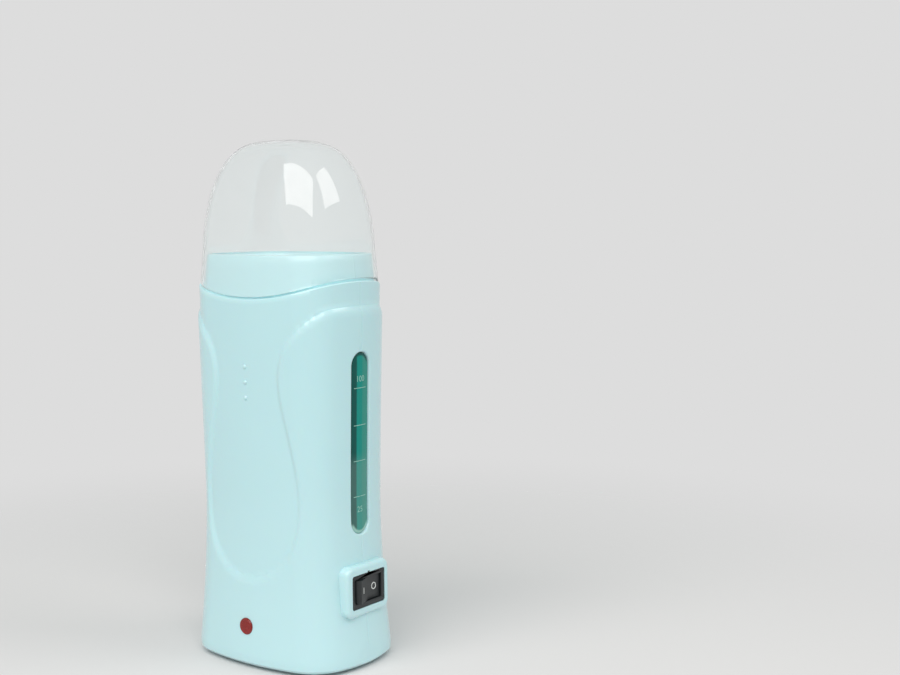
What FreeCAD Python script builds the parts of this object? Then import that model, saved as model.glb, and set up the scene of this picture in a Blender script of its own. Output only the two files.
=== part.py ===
import FreeCAD, Part
import math
import os

# Roll-on wax heater: a hand-held warmer for a 100 ml roller cartridge.
# Millimetres, +Z up, origin at the middle of the footprint on the table.
# The wide axis is X, the front faces -Y, and the switch is on the +X side.

Vector = FreeCAD.Vector
ORIGIN = Vector(0, 0, 0)
X_AXIS = Vector(1, 0, 0)
Y_AXIS = Vector(0, 1, 0)
Z_AXIS = Vector(0, 0, 1)
FAR = 80.0  # reaches past the object from its middle

# ---------------------------------------------------------- wax cartridge
# The heater is built round a standard 100 ml roller cartridge.
CARTRIDGE_WIDTH = 52.0
CARTRIDGE_DEPTH = 34.0
CARTRIDGE_CORNER = 13.0
CARTRIDGE_LENGTH = 137.0  # with its roller head
CARTRIDGE_PLAY = 1.0  # all round
HEAD_ROOM = 6.8  # from the roller head to the inside of the dome

# ---------------------------------------------------------------- heating well
WELL_FLOOR_Z = 45.0
WELL_WALL = 0.8
SIDE_ROOM = 2.3  # at the waist, between the well and the wall, for the windows
FRONT_ROOM = 2.7  # the same in front and behind, for the heaters
LEDGE_DROP = 6.3  # the ledge that carries the well is this far under the rim
LEDGE_THICKNESS = 1.7
LEDGE_CLEARANCE = 0.3
BEZEL_CLEARANCE = 0.1
BEZEL_DROP = 0.8  # bezel top under the collar's rim
BEZEL_LEAD_IN = 1.2

# ------------------------------------------------------------------ body form
# Every level of the body and the cap is an oval of eight tangent arcs.
FRONT_ARC = 2.88  # radius of the front and back arcs over the half width
SIDE_ARC = 1.21  # radius of the side arcs over the half width
CORNER_ARC = 0.485  # radius of the four corner arcs over the half width

SKIN_RAISE = 1.0  # the grip skins stand this far proud of the panels
WALL = 1.8  # moulded wall behind the panels

WAIST_Z = 58.0
BASE_FLARE = 3.8  # extra half width at the table
BASE_FLARE_POWER = 1.7
SHOULDER_FLARE = 1.3  # extra half width SHOULDER_RISE above the waist
SHOULDER_FLARE_POWER = 1.25
SHOULDER_RISE = 60.0

FOOT_HEIGHT = 1.2  # what shows of the feet under the base
BASE_ROUND = 2.4  # rounding of the body's bottom edge
BODY_STEPS = 9
CAVITY_STEPS = 5

# ------------------------------------------------------------------ cap, collar
DOME_RISE = 40.0  # from the spring line to the top of the cap
DOME_SIDE_POWER = 1.7  # lower lets the dome's sides lean in sooner
DOME_TOP_POWER = 3.6  # higher makes the dome's top flatter
DOME_STEPS = 12
DOME_GATE_ANGLE = 87.5  # past this the top is the flat spot of the moulding gate
SPRING_RISE = 1.0  # from the collar's rim to the spring line
COLLAR_RISE = 15.0  # from the seam's lowest point to the collar's rim
COLLAR_WALL = 1.8
COLLAR_ROUND = 0.6
COLLAR_ROOT = 6.0  # the collar starts this far under the lowest shoulder
CAP_WALL = 1.2
CAP_CLEARANCE = 0.3
CAP_STEP_IN = 0.2  # the cap's edge stands in from the panel below it
CAP_DRAFT = 0.094  # widening per mm below the spring line
SEAM_RISE = 5.7  # the cap's edge is this much higher at the sides
SEAM_POWER = 2.2
SEAM_GAP = 0.3  # shadow line between the cap and the shoulder
SEAM_POINTS = 9
SHOULDER_THICKNESS = 2.2

# ----------------------------------------------------------------- front panel
# Right half of the vase-shaped panel between the grip skins. The lower points
# are (x, z), the upper ones (x, distance under the seam's lowest point).
PANEL_BOWL = [(0.0, 33.5), (16.2, 42.0), (21.2, 60.0)]
PANEL_NECK = [(16.2, 42.4), (14.2, 27.5), (16.6, 18.0), (24.8, 9.0)]
PANEL_ARCH_DROP = 3.0  # top of the grip skins under the seam's lowest point
DOT_DROP = 24.6
DOT_PITCH = 5.6
DOT_COUNT = 3
DOT_DIAMETER = 1.7
DOT_HEIGHT = 0.45

# ---------------------------------------------------------------------- windows
WINDOW_WIDTH = 9.5
WINDOW_RISE = 3.8  # from the well's floor
WINDOW_DROP = 19.6  # under the seam's lowest point
WINDOW_SUNK = 0.3  # under the skin
WINDOW_CLEARANCE = 0.06
WINDOW_FLANGE = 1.5  # how far the flange laps the wall inside
WINDOW_FLANGE_THICKNESS = 1.1
WINDOW_SEAT = 0.1

# ---------------------------------------------------------------------- heaters
SPREADER_WIDTH = 25.0
SPREADER_RISE = 1.0  # from the well's floor
SPREADER_LAP = 5.9  # past the top of the windows
SPREADER_THICKNESS = 0.8
ELEMENT_WIDTH = 15.0
ELEMENT_MARGIN = 4.0  # shorter than the windows at each end
ELEMENT_THICKNESS = 1.2
BAND_THICKNESS = 0.3
BAND_HEIGHT = 3.0
BAND_INSET = 0.3  # from each end of the spreaders

# ----------------------------------------------------- cradle under the well
CRADLE_THICKNESS = 3.0
CRADLE_CLEARANCE = 0.25
CRADLE_LIP_HEIGHT = 1.2
CRADLE_LIP_WALL = 1.2
CRADLE_LEDGE_WIDTH = 2.0
CRADLE_LEDGE_THICKNESS = 1.6
SENSOR_WINDOW_LENGTH = 21.0
SENSOR_WINDOW_WIDTH = 15.0
SENSOR_WINDOW_CORNER = 2.0
THERMOSTAT_LENGTH = 15.5
THERMOSTAT_WIDTH = 6.5
THERMOSTAT_HEIGHT = 3.6
THERMOSTAT_ROUND = 0.8
THERMOSTAT_Y = -3.5
FUSE_LENGTH = 9.5
FUSE_DIAMETER = 4.0
FUSE_Y = 4.0
FUSE_SEAT = 0.05

# ------------------------------------------------------- switch on the +X side
PAD_PROUD = 2.0  # pad face beyond the side of the body
PAD_WIDTH = 23.5
PAD_DROP = 2.8  # pad top under the cradle
PAD_HEIGHT = 18.7
PAD_CORNER = 3.2
PAD_EDGE = 1.1
SWITCH_WIDTH = 18.0
SWITCH_HEIGHT = 12.3
SWITCH_CORNER = 0.9
SWITCH_SUNK = 0.25  # bezel face under the pad's face
SWITCH_CLEARANCE = 0.06
SWITCH_BEZEL_THICKNESS = 1.5
SWITCH_BORDER = 1.75
SWITCH_BODY_DEPTH = 13.0
SWITCH_BODY_STEP = 0.8  # the body is this much smaller than the bezel, each side
KEY_WIDTH = 1.0
KEY_HEIGHT = 0.5
ROCKER_RADIUS = 7.05  # ends of the rocker, about its pivot
ROCKER_PIVOT_DEPTH = 2.6  # pivot axis behind the bezel face
ROCKER_VALLEY = 2.0  # middle of the rocker's face in front of the pivot
ROCKER_KEEL = 1.6  # underside behind the pivot
ROCKER_THROW = 20.0  # degrees from one stop to the other
ROCKER_SIDE_GAP = 0.2
ROCKER_CAVITY_DEPTH = 3.9  # behind the pivot
TRUNNION_DIAMETER = 1.8
TRUNNION_LENGTH = 0.8
TRUNNION_CLEARANCE = 0.04
TERMINAL_WIDTH = 4.8
TERMINAL_THICKNESS = 0.8
TERMINAL_LENGTH = 6.5
TERMINAL_SPACING = 7.5

# ------------------------------------------------ mains inlet low on the back
INLET_Z = 15.5
INLET_FLANGE_WIDTH = 20.6
INLET_FLANGE_HEIGHT = 12.6
INLET_FLANGE_THICKNESS = 1.6
INLET_FLANGE_CORNER = 2.0
INLET_PROUD = 0.5
INLET_BODY_WIDTH = 18.4
INLET_BODY_HEIGHT = 10.4
INLET_BODY_DEPTH = 15.0
INLET_CLEARANCE = 0.08
SOCKET_LOBE_RADIUS = 4.15
SOCKET_LOBE_SPACING = 8.2
SOCKET_WAIST = 5.6
SOCKET_DEPTH = 12.0
PIN_DIAMETER = 2.4
PIN_SPACING = 8.6
PIN_LENGTH = 10.0
PIN_FIT = 0.02
TAB_WIDTH = 2.4
TAB_THICKNESS = 0.8
TAB_LENGTH = 5.0

# -------------------------------------------------- indicator and lamp board
LENS_Z = 15.5
LENS_DIAMETER = 6.0
LENS_FLANGE_DIAMETER = 8.4
LENS_FLANGE_THICKNESS = 1.0
LENS_PROUD = 0.5
LENS_CLEARANCE = 0.05
LENS_SEAT = 0.4  # depth of the flat seat sunk in the wall's inside
LED_DIAMETER = 5.0
LED_FLANGE_DIAMETER = 5.8
LED_FLANGE_THICKNESS = 1.0
LED_BARREL = 4.8
LED_GAP = 0.3
BOARD_WIDTH = 22.0
BOARD_HEIGHT = 20.0
BOARD_THICKNESS = 1.6
RESISTOR_DIAMETER = 2.4
RESISTOR_LENGTH = 6.5
RESISTOR_X = 5.5
RESISTOR_WAIST = 1.9

# ------------------------------------------------------------------ base plate
BASE_THICKNESS = 2.6
BASE_CLEARANCE = 0.2
FOOT_DIAMETER = 8.0
FOOT_SINK = 0.7
FOOT_ROUND = 0.5
FOOT_INSET = 13.9  # centre of a foot from the body's side, front or back
BOARD_POST = 3.0
BOARD_POST_HEIGHT = 6.0
BOARD_SLOT_FLOOR = 1.0
BOARD_FIT = 0.06

# ---------------------------------------------------------------------- screws
SCREW_DIAMETER = 2.5
SCREW_HEAD_DIAMETER = 4.8
SCREW_HEAD_HEIGHT = 1.5
SCREW_FIT = 0.03
SCREW_HEAD_CLEARANCE = 0.3
BOSS_DIAMETER = 6.0
BASE_BOSS_GAP = 3.8  # between the inlet's body and the bosses beside it
BASE_BOSS_INSET = 6.7  # centre of a boss from the inside of the wall
BASE_BOSS_HEIGHT = 10.2
BASE_SCREW_LENGTH = 8.0
RIB_THICKNESS = 1.4
SHELL_BOSS_DIAMETER = 7.0
SHELL_BOSS_STEP = 6.0  # further out than the base bosses
SHELL_BOSS_Z = 19.0
SHELL_HEAD_SEAT = 10.0  # y of the shell screws' head seat
SHELL_SCREW_LENGTH = 17.0
SCREW_HOLE_SPARE = 0.5  # hole beyond the tip of the screw

# ---------------------------------------------------------------- worked out
SHELL_INSET = SKIN_RAISE + WALL
WELL_HALF_WIDTH = CARTRIDGE_WIDTH / 2 + CARTRIDGE_PLAY
WELL_HALF_DEPTH = CARTRIDGE_DEPTH / 2 + CARTRIDGE_PLAY
WELL_CORNER = CARTRIDGE_CORNER + CARTRIDGE_PLAY
WAIST_HALF_WIDTH = WELL_HALF_WIDTH + WELL_WALL + SIDE_ROOM + SHELL_INSET
WAIST_HALF_DEPTH = WELL_HALF_DEPTH + WELL_WALL + FRONT_ROOM + SHELL_INSET
PLAN_RATIO = WAIST_HALF_WIDTH / WAIST_HALF_DEPTH

CAP_TOP = WELL_FLOOR_Z + CARTRIDGE_LENGTH + HEAD_ROOM + CAP_WALL
CAP_SPRING_Z = CAP_TOP - DOME_RISE
COLLAR_TOP = CAP_SPRING_Z - SPRING_RISE
LEDGE_TOP = COLLAR_TOP - LEDGE_DROP
SEAM_LOW = COLLAR_TOP - COLLAR_RISE
SHOULDER_FLOOR = SEAM_LOW - SEAM_GAP
CAVITY_TOP = SHOULDER_FLOOR - SHOULDER_THICKNESS
PANEL_TOP = SEAM_LOW - PANEL_ARCH_DROP

WINDOW_BOTTOM = WELL_FLOOR_Z + WINDOW_RISE
WINDOW_TOP = SEAM_LOW - WINDOW_DROP
SPREADER_BOTTOM = WELL_FLOOR_Z + SPREADER_RISE
SPREADER_TOP = WINDOW_TOP + SPREADER_LAP
WELL_BOTTOM = WELL_FLOOR_Z - WELL_WALL
CRADLE_BOTTOM = WELL_BOTTOM - CRADLE_THICKNESS

PAD_TOP = CRADLE_BOTTOM - PAD_DROP
PAD_BOTTOM = PAD_TOP - PAD_HEIGHT
SWITCH_Z = PAD_TOP - (PAD_WIDTH - SWITCH_WIDTH) / 2 - SWITCH_HEIGHT / 2 - KEY_HEIGHT
ROCKER_HALF_HEIGHT = SWITCH_HEIGHT / 2 - SWITCH_BORDER - ROCKER_SIDE_GAP

BASE_TOP = FOOT_HEIGHT + BASE_THICKNESS
BASE_BOSS_X = INLET_BODY_WIDTH / 2 + BASE_BOSS_GAP + BOSS_DIAMETER / 2
SHELL_BOSS_X = BASE_BOSS_X + SHELL_BOSS_STEP


# ---------------------------------------------------------------- small tools
def box(x_low, x_high, y_low, y_high, z_low, z_high):
    corner = Vector(x_low, y_low, z_low)
    return Part.makeBox(x_high - x_low, y_high - y_low, z_high - z_low, corner)


def rounded_wire(half_width, half_depth, radius, z):
    """A rectangle with round corners, flat at height z."""
    low = Vector(-half_width, -half_depth, z)
    sheet = Part.makePlane(2 * half_width, 2 * half_depth, low)
    solid = sheet.extrude(Z_AXIS)
    upright = [edge for edge in solid.Edges if abs(edge.tangentAt(edge.FirstParameter).z) > 0.9]
    rounded = solid.makeFillet(radius, upright)
    return next(face.OuterWire for face in rounded.Faces if face.BoundBox.ZMax < z + 0.01)


def rounded_prism(half_width, half_depth, radius, z_low, z_high):
    """An upright block with round corners in plan."""
    face = Part.Face(rounded_wire(half_width, half_depth, radius, z_low))
    return face.extrude(Vector(0, 0, z_high - z_low))


def facing_x(shape, x, z):
    """Turns a shape drawn upright on Z so that its Z axis points along +X, at height z."""
    turned = shape.copy()
    turned.rotate(ORIGIN, Y_AXIS, 90)
    turned.translate(Vector(x, 0, z))
    return turned


def facing_back(shape, y, z):
    """Turns a shape drawn upright on Z so that its Z axis points along +Y, at height z."""
    turned = shape.copy()
    turned.rotate(ORIGIN, X_AXIS, -90)
    turned.translate(Vector(0, y, z))
    return turned


def rod(diameter, start, direction, length):
    return Part.makeCylinder(diameter / 2, length, start, direction)


def fuse_all(shapes):
    return shapes[0].multiFuse(shapes[1:])


def cut_all(shape, tools):
    for tool in tools:
        shape = shape.cut(tool)
    return shape


def write(name, shape):
    if not shape.isValid():
        raise ValueError(name + " is not a valid shape")
    solids = shape.Solids
    kept = solids[0] if len(solids) == 1 else Part.makeCompound(solids)
    kept.exportStep("parts/" + name + ".step")
    print(name, "solids", len(solids), "volume", round(sum(solid.Volume for solid in solids), 1))


# ------------------------------------------------------------------ body form
def body_half_width(z):
    """Half width of the grip skins at height z: a waist that flares to the base and the shoulder."""
    if z < WAIST_Z:
        return WAIST_HALF_WIDTH + BASE_FLARE * ((WAIST_Z - z) / WAIST_Z) ** BASE_FLARE_POWER
    rise = (z - WAIST_Z) / SHOULDER_RISE
    return WAIST_HALF_WIDTH + SHOULDER_FLARE * rise**SHOULDER_FLARE_POWER


def body_half_depth(z):
    return body_half_width(z) / PLAN_RATIO


def wall_inside_y(z):
    """Half depth of the room inside the shells at height z."""
    return body_half_depth(z) - SHELL_INSET


CAP_SPRING_HALF_WIDTH = (
    body_half_width(SEAM_LOW) - SKIN_RAISE - CAP_STEP_IN - CAP_DRAFT * (CAP_SPRING_Z - SEAM_LOW)
)
PAD_FACE_X = body_half_width(SWITCH_Z) + PAD_PROUD
BEZEL_FACE_X = PAD_FACE_X - SWITCH_SUNK
ROCKER_X = BEZEL_FACE_X - ROCKER_PIVOT_DEPTH
FOOT_X = body_half_width(0.0) - FOOT_INSET
FOOT_Y = body_half_depth(0.0) - FOOT_INSET
BASE_BOSS_Y = wall_inside_y(BASE_TOP) - BASE_BOSS_INSET


def spaced(low, high, count):
    return [low + (high - low) * step / count for step in range(count + 1)]


def arc_meeting(far_centre, far_radius, side_centre, side_radius, radius):
    """Centre of the corner arc that lies inside and touches the front and side arcs."""
    reach_far = far_radius - radius
    reach_side = side_radius - radius
    across = side_centre - far_centre
    along = (reach_far**2 - reach_side**2 + across.Length**2) / (2 * across.Length)
    height = math.sqrt(reach_far**2 - along**2)
    forward = across / across.Length
    outward = Vector(forward.y, -forward.x, 0)
    return far_centre + forward * along + outward * height


def oval_wire(z, half_width, half_depth, inset=0.0):
    """The plan of one level, moved inwards by inset: front, side and corner arcs, all tangent."""
    front_radius = FRONT_ARC * half_width - inset
    side_radius = SIDE_ARC * half_width - inset
    corner_radius = CORNER_ARC * half_width - inset
    wide = half_width - inset
    deep = half_depth - inset
    front_centre = Vector(0, deep - front_radius, 0)
    side_centre = Vector(wide - side_radius, 0, 0)
    corner = arc_meeting(front_centre, front_radius, side_centre, side_radius, corner_radius)
    to_front = corner - front_centre
    to_side = corner - side_centre
    on_front = front_centre + to_front * (front_radius / to_front.Length)
    on_side = side_centre + to_side * (side_radius / to_side.Length)
    outward = to_front / to_front.Length + to_side / to_side.Length
    on_corner = corner + outward * (corner_radius / outward.Length)

    def place(point, sign_x, sign_y):
        return Vector(point.x * sign_x, point.y * sign_y, z)

    back = Vector(0, deep, 0)
    side = Vector(wide, 0, 0)
    arcs = [
        (place(on_front, -1, 1), place(back, 1, 1), place(on_front, 1, 1)),
        (place(on_front, 1, 1), place(on_corner, 1, 1), place(on_side, 1, 1)),
        (place(on_side, 1, 1), place(side, 1, 1), place(on_side, 1, -1)),
        (place(on_side, 1, -1), place(on_corner, 1, -1), place(on_front, 1, -1)),
        (place(on_front, 1, -1), place(back, 1, -1), place(on_front, -1, -1)),
        (place(on_front, -1, -1), place(on_corner, -1, -1), place(on_side, -1, -1)),
        (place(on_side, -1, -1), place(side, -1, 1), place(on_side, -1, 1)),
        (place(on_side, -1, 1), place(on_corner, -1, 1), place(on_front, -1, 1)),
    ]
    return Part.Wire([Part.Arc(*points).toShape() for points in arcs])


def oval_loft(levels):
    return Part.makeLoft([oval_wire(*level) for level in levels], True, True)


def body_level(z, inset):
    return (z, body_half_width(z), body_half_depth(z), inset)


def body_form(inset, bottom, top, steps):
    return oval_loft([body_level(z, inset) for z in spaced(bottom, top, steps)])


def skin_form():
    """The outside of the body with its bottom edge rounded."""
    levels = []
    for degrees in (0, 30, 60):
        angle = math.radians(degrees)
        z = FOOT_HEIGHT + BASE_ROUND * (1 - math.cos(angle))
        levels.append(body_level(z, BASE_ROUND * (1 - math.sin(angle))))
    upper = spaced(FOOT_HEIGHT + BASE_ROUND, COLLAR_TOP, BODY_STEPS)
    return oval_loft(levels + [body_level(z, 0.0) for z in upper])


def room_inside(extra, bottom, top):
    """The room inside the shells, less an extra clearance."""
    return body_form(SHELL_INSET + extra, bottom, top, CAVITY_STEPS)


# --------------------------------------------------------------- cap and collar
def seam_z(x):
    return SEAM_LOW + SEAM_RISE * (abs(x) / CAP_SPRING_HALF_WIDTH) ** SEAM_POWER


def below_seam(drop):
    """Everything under the wavy seam, lowered by drop."""
    reach = body_half_width(SEAM_LOW) + SKIN_RAISE
    points = [Vector(x, -FAR, seam_z(x) - drop) for x in spaced(-reach, reach, 2 * SEAM_POINTS)]
    curve = Part.BSplineCurve()
    curve.interpolate(Points=points)
    left_foot = Vector(-reach, -FAR, -FAR)
    right_foot = Vector(reach, -FAR, -FAR)
    edges = [
        curve.toShape(),
        Part.makeLine(points[-1], right_foot),
        Part.makeLine(right_foot, left_foot),
        Part.makeLine(left_foot, points[0]),
    ]
    return Part.Face(Part.Wire(edges)).extrude(Vector(0, 2 * FAR, 0))


def cap_levels(wall):
    """Levels of the cap's outside, or of its inside where wall is its thickness."""
    half_width = CAP_SPRING_HALF_WIDTH - wall
    half_depth = CAP_SPRING_HALF_WIDTH / PLAN_RATIO - wall
    rise = CAP_TOP - CAP_SPRING_Z - wall
    skirt_bottom = SHOULDER_FLOOR - COLLAR_ROOT
    skirt_widening = CAP_DRAFT * (CAP_SPRING_Z - skirt_bottom)
    levels = [(skirt_bottom, half_width + skirt_widening, half_depth + skirt_widening / PLAN_RATIO)]
    for degrees in spaced(0, DOME_GATE_ANGLE, DOME_STEPS):
        angle = math.radians(degrees)
        shrink = math.cos(angle) ** (2 / DOME_TOP_POWER)
        z = CAP_SPRING_Z + rise * math.sin(angle) ** (2 / DOME_SIDE_POWER)
        levels.append((z, half_width * shrink, half_depth * shrink))
    return levels


def cap_form(wall):
    return oval_loft(cap_levels(wall))


def cap():
    return cap_form(0.0).cut(cap_form(CAP_WALL)).cut(below_seam(0.0))


def collar_level(z, inset):
    half_width = CAP_SPRING_HALF_WIDTH + CAP_DRAFT * (CAP_SPRING_Z - z)
    return (z, half_width, half_width / PLAN_RATIO, inset)


def collar_form():
    """The neck that the cap slides over, with a round rim."""
    outside = CAP_WALL + CAP_CLEARANCE
    levels = [collar_level(SHOULDER_FLOOR - COLLAR_ROOT, outside)]
    for degrees in (0, 30, 60, 90):
        angle = math.radians(degrees)
        z = COLLAR_TOP - COLLAR_ROUND * (1 - math.sin(angle))
        levels.append(collar_level(z, outside + COLLAR_ROUND * (1 - math.cos(angle))))
    return oval_loft(levels)


def mouth(extra, bottom, top):
    """The straight mouth inside the collar, less an extra clearance."""
    inset = CAP_WALL + CAP_CLEARANCE + COLLAR_WALL + extra
    at_rim = collar_level(COLLAR_TOP, inset)
    face = Part.Face(oval_wire(bottom, *at_rim[1:]))
    return face.extrude(Vector(0, 0, top - bottom))


# ----------------------------------------------------------------- front panel
def panel_prism():
    """The vase shape and the band over both grip skins, run through from front to back."""
    outline = PANEL_BOWL + [(x, SEAM_LOW - drop) for x, drop in PANEL_NECK]
    arch_end = body_half_width(PANEL_TOP)
    points = [Vector(x, -FAR, z) for x, z in outline + [(arch_end, PANEL_TOP)]]
    curve = Part.BSplineCurve()
    curve.interpolate(Points=points, InitialTangent=X_AXIS, FinalTangent=X_AXIS, Scale=False)
    right = curve.toShape()
    left = right.mirror(ORIGIN, X_AXIS)
    over = [(arch_end, PANEL_TOP), (FAR, PANEL_TOP), (FAR, CAP_TOP)]
    corners = [Vector(x, -FAR, z) for x, z in over] + [Vector(-x, -FAR, z) for x, z in reversed(over)]
    sides = [Part.makeLine(first, second) for first, second in zip(corners, corners[1:])]
    wire = Part.Wire(Part.__sortEdges__([right] + sides + [left]))
    return Part.Face(wire).extrude(Vector(0, 2 * FAR, 0))


def dots():
    """A row of raised dots on the front panel, as domes of a small sphere."""
    radius = ((DOT_DIAMETER / 2) ** 2 + DOT_HEIGHT**2) / (2 * DOT_HEIGHT)
    spheres = []
    for number in range(DOT_COUNT):
        z = SEAM_LOW - DOT_DROP - DOT_PITCH * number
        surface_y = SKIN_RAISE - body_half_depth(z)
        centre = Vector(0, surface_y + radius - DOT_HEIGHT, z)
        spheres.append(Part.makeSphere(radius, centre))
    return spheres


# ---------------------------------------------------------------------- windows
def stadium(margin):
    """A window's outline with round ends, as a block through the body along X."""
    half_height = (WINDOW_TOP - WINDOW_BOTTOM) / 2 + margin
    half_width = WINDOW_WIDTH / 2 + margin
    block = box(-FAR, FAR, -half_width, half_width, -half_height + half_width, half_height - half_width)
    ends = []
    for side in (-1, 1):
        start = Vector(-FAR, 0, side * (half_height - half_width))
        ends.append(rod(2 * half_width, start, X_AXIS, 2 * FAR))
    slot = fuse_all([block] + ends).removeSplitter()
    slot.translate(Vector(0, 0, (WINDOW_TOP + WINDOW_BOTTOM) / 2))
    return slot


def windows():
    """Lens with a flange that laps the wall inside, for the right and the left side."""
    margin = WINDOW_FLANGE * 2
    bottom = WINDOW_BOTTOM - margin
    top = WINDOW_TOP + margin
    seat = room_inside(WINDOW_SEAT, bottom, top)
    hollow = room_inside(WINDOW_SEAT + WINDOW_FLANGE_THICKNESS, bottom, top)
    face = body_form(WINDOW_SUNK, bottom, top, BODY_STEPS)
    lens = face.common(stadium(-WINDOW_CLEARANCE))
    flange = seat.common(stadium(WINDOW_FLANGE))
    both = lens.fuse(flange).cut(hollow)
    right = both.common(box(0, FAR, -FAR, FAR, 0, FAR * 2))
    return right, right.mirror(ORIGIN, X_AXIS)


# ---------------------------------------------------------------- heating well
def well_prism(margin, z_low, z_high):
    corner = WELL_CORNER + margin
    return rounded_prism(WELL_HALF_WIDTH + margin, WELL_HALF_DEPTH + margin, corner, z_low, z_high)


def heating_well():
    """Drawn aluminium sleeve with a floor, a top flange and a slot behind each window."""
    sleeve = well_prism(WELL_WALL, WELL_BOTTOM, LEDGE_TOP + WELL_WALL)
    flange = mouth(BEZEL_CLEARANCE, LEDGE_TOP, LEDGE_TOP + WELL_WALL)
    hollow = well_prism(0.0, WELL_FLOOR_Z, LEDGE_TOP + 2 * WELL_WALL)
    return sleeve.fuse(flange).cut(hollow).cut(stadium(-WINDOW_CLEARANCE))


def top_ring():
    """Bezel in the collar's mouth that clamps the well's flange, with a lead-in for the cartridge."""
    bottom = LEDGE_TOP + WELL_WALL
    top = COLLAR_TOP - BEZEL_DROP
    ring = mouth(BEZEL_CLEARANCE, bottom, top).cut(well_prism(0.0, bottom - 1, top + 1))
    lower = rounded_wire(WELL_HALF_WIDTH, WELL_HALF_DEPTH, WELL_CORNER, top - BEZEL_LEAD_IN)
    widening = BEZEL_LEAD_IN / 2
    upper = rounded_wire(
        WELL_HALF_WIDTH + widening, WELL_HALF_DEPTH + widening, WELL_CORNER + widening, top
    )
    return ring.cut(Part.makeLoft([lower, upper], True, True))


def well_cradle():
    """Heat-proof floor under the well, with a lip round its foot and an opening for the sensors."""
    plate = room_inside(CRADLE_CLEARANCE, CRADLE_BOTTOM, WELL_BOTTOM)
    lip = well_prism(WELL_WALL + CRADLE_LIP_WALL, WELL_BOTTOM, WELL_BOTTOM + CRADLE_LIP_HEIGHT)
    socket = well_prism(WELL_WALL + BEZEL_CLEARANCE, WELL_BOTTOM, WELL_FLOOR_Z + CRADLE_LIP_HEIGHT)
    opening = rounded_prism(
        SENSOR_WINDOW_LENGTH / 2,
        SENSOR_WINDOW_WIDTH / 2,
        SENSOR_WINDOW_CORNER,
        CRADLE_BOTTOM - 1,
        WELL_BOTTOM + 1,
    )
    return plate.fuse(lip.cut(socket)).cut(opening)


def cradle_ledge():
    """Ledge inside the shells that carries the cradle."""
    bottom = CRADLE_BOTTOM - CRADLE_LEDGE_THICKNESS
    outside = body_form(SHELL_INSET - WALL / 2, bottom, CRADLE_BOTTOM, 1)
    return outside.cut(room_inside(CRADLE_LEDGE_WIDTH, bottom, CRADLE_BOTTOM))


def thermostat():
    half = THERMOSTAT_LENGTH / 2
    low = THERMOSTAT_Y - THERMOSTAT_WIDTH / 2
    case = box(-half, half, low, low + THERMOSTAT_WIDTH, WELL_BOTTOM - THERMOSTAT_HEIGHT, WELL_BOTTOM)
    ends = [edge for edge in case.Edges if edge.BoundBox.ZLength > THERMOSTAT_HEIGHT / 2]
    return case.makeFillet(THERMOSTAT_ROUND, ends)


def thermal_fuse():
    """Axial cutout with a conical end, against the underside of the well."""
    radius = FUSE_DIAMETER / 2
    z = WELL_BOTTOM - radius - FUSE_SEAT
    can = rod(FUSE_DIAMETER, Vector(-FUSE_LENGTH / 2, FUSE_Y, z), X_AXIS, FUSE_LENGTH)
    tip = Part.makeCone(radius, radius / 3, radius, Vector(FUSE_LENGTH / 2, FUSE_Y, z), X_AXIS)
    return can.fuse(tip)


# ---------------------------------------------------------------------- heaters
def heater_plates(side):
    """Spreader plate and wrapped heating element on one flat of the well; side is -1 in front."""
    y = WELL_HALF_DEPTH + WELL_WALL
    spreader = box(
        -SPREADER_WIDTH / 2, SPREADER_WIDTH / 2, y, y + SPREADER_THICKNESS, SPREADER_BOTTOM, SPREADER_TOP
    )
    y = y + SPREADER_THICKNESS
    half = ELEMENT_WIDTH / 2
    bottom = WINDOW_BOTTOM + ELEMENT_MARGIN
    element = box(-half, half, y, y + ELEMENT_THICKNESS, bottom, WINDOW_TOP - ELEMENT_MARGIN)
    if side < 0:
        return spreader.mirror(ORIGIN, Y_AXIS), element.mirror(ORIGIN, Y_AXIS)
    return spreader, element


def heater_band(z_low):
    """Sprung steel band round the well that holds both spreader plates."""
    wide = WELL_HALF_WIDTH + WELL_WALL
    deep = WELL_HALF_DEPTH + WELL_WALL + SPREADER_THICKNESS
    corner = WELL_CORNER + WELL_WALL
    z_high = z_low + BAND_HEIGHT
    outside = rounded_prism(
        wide + BAND_THICKNESS, deep + BAND_THICKNESS, corner + BAND_THICKNESS, z_low, z_high
    )
    return outside.cut(rounded_prism(wide, deep, corner, z_low - 1, z_high + 1))


# ----------------------------------------------------------------------- switch
def switch_pad():
    """Raised pad with soft edges that frames the switch."""
    half_height = (PAD_TOP - PAD_BOTTOM) / 2
    depth = PAD_FACE_X - WAIST_HALF_WIDTH / 2
    block = rounded_prism(half_height, PAD_WIDTH / 2, PAD_CORNER, 0, depth)
    rim = [edge for edge in block.Edges if edge.BoundBox.ZMin > depth - 0.01]
    soft = block.makeFillet(PAD_EDGE, rim)
    return facing_x(soft, PAD_FACE_X - depth, (PAD_TOP + PAD_BOTTOM) / 2)


def switch_block(grow, width_step, depth, face_x):
    """A block the size of the switch, width_step smaller each side and larger by grow."""
    half_height = SWITCH_HEIGHT / 2 - width_step + grow
    half_width = SWITCH_WIDTH / 2 - width_step + grow
    block = rounded_prism(half_height, half_width, SWITCH_CORNER + grow, 0, depth)
    return facing_x(block, face_x - depth, SWITCH_Z)


def switch_key(grow, face_x):
    """Key on top of the bezel, in line with the parting line of the shells."""
    half = KEY_WIDTH / 2 + grow
    top = SWITCH_Z + SWITCH_HEIGHT / 2
    return box(face_x - SWITCH_BEZEL_THICKNESS, face_x, -half, half, top - 1, top + KEY_HEIGHT + grow)


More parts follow.
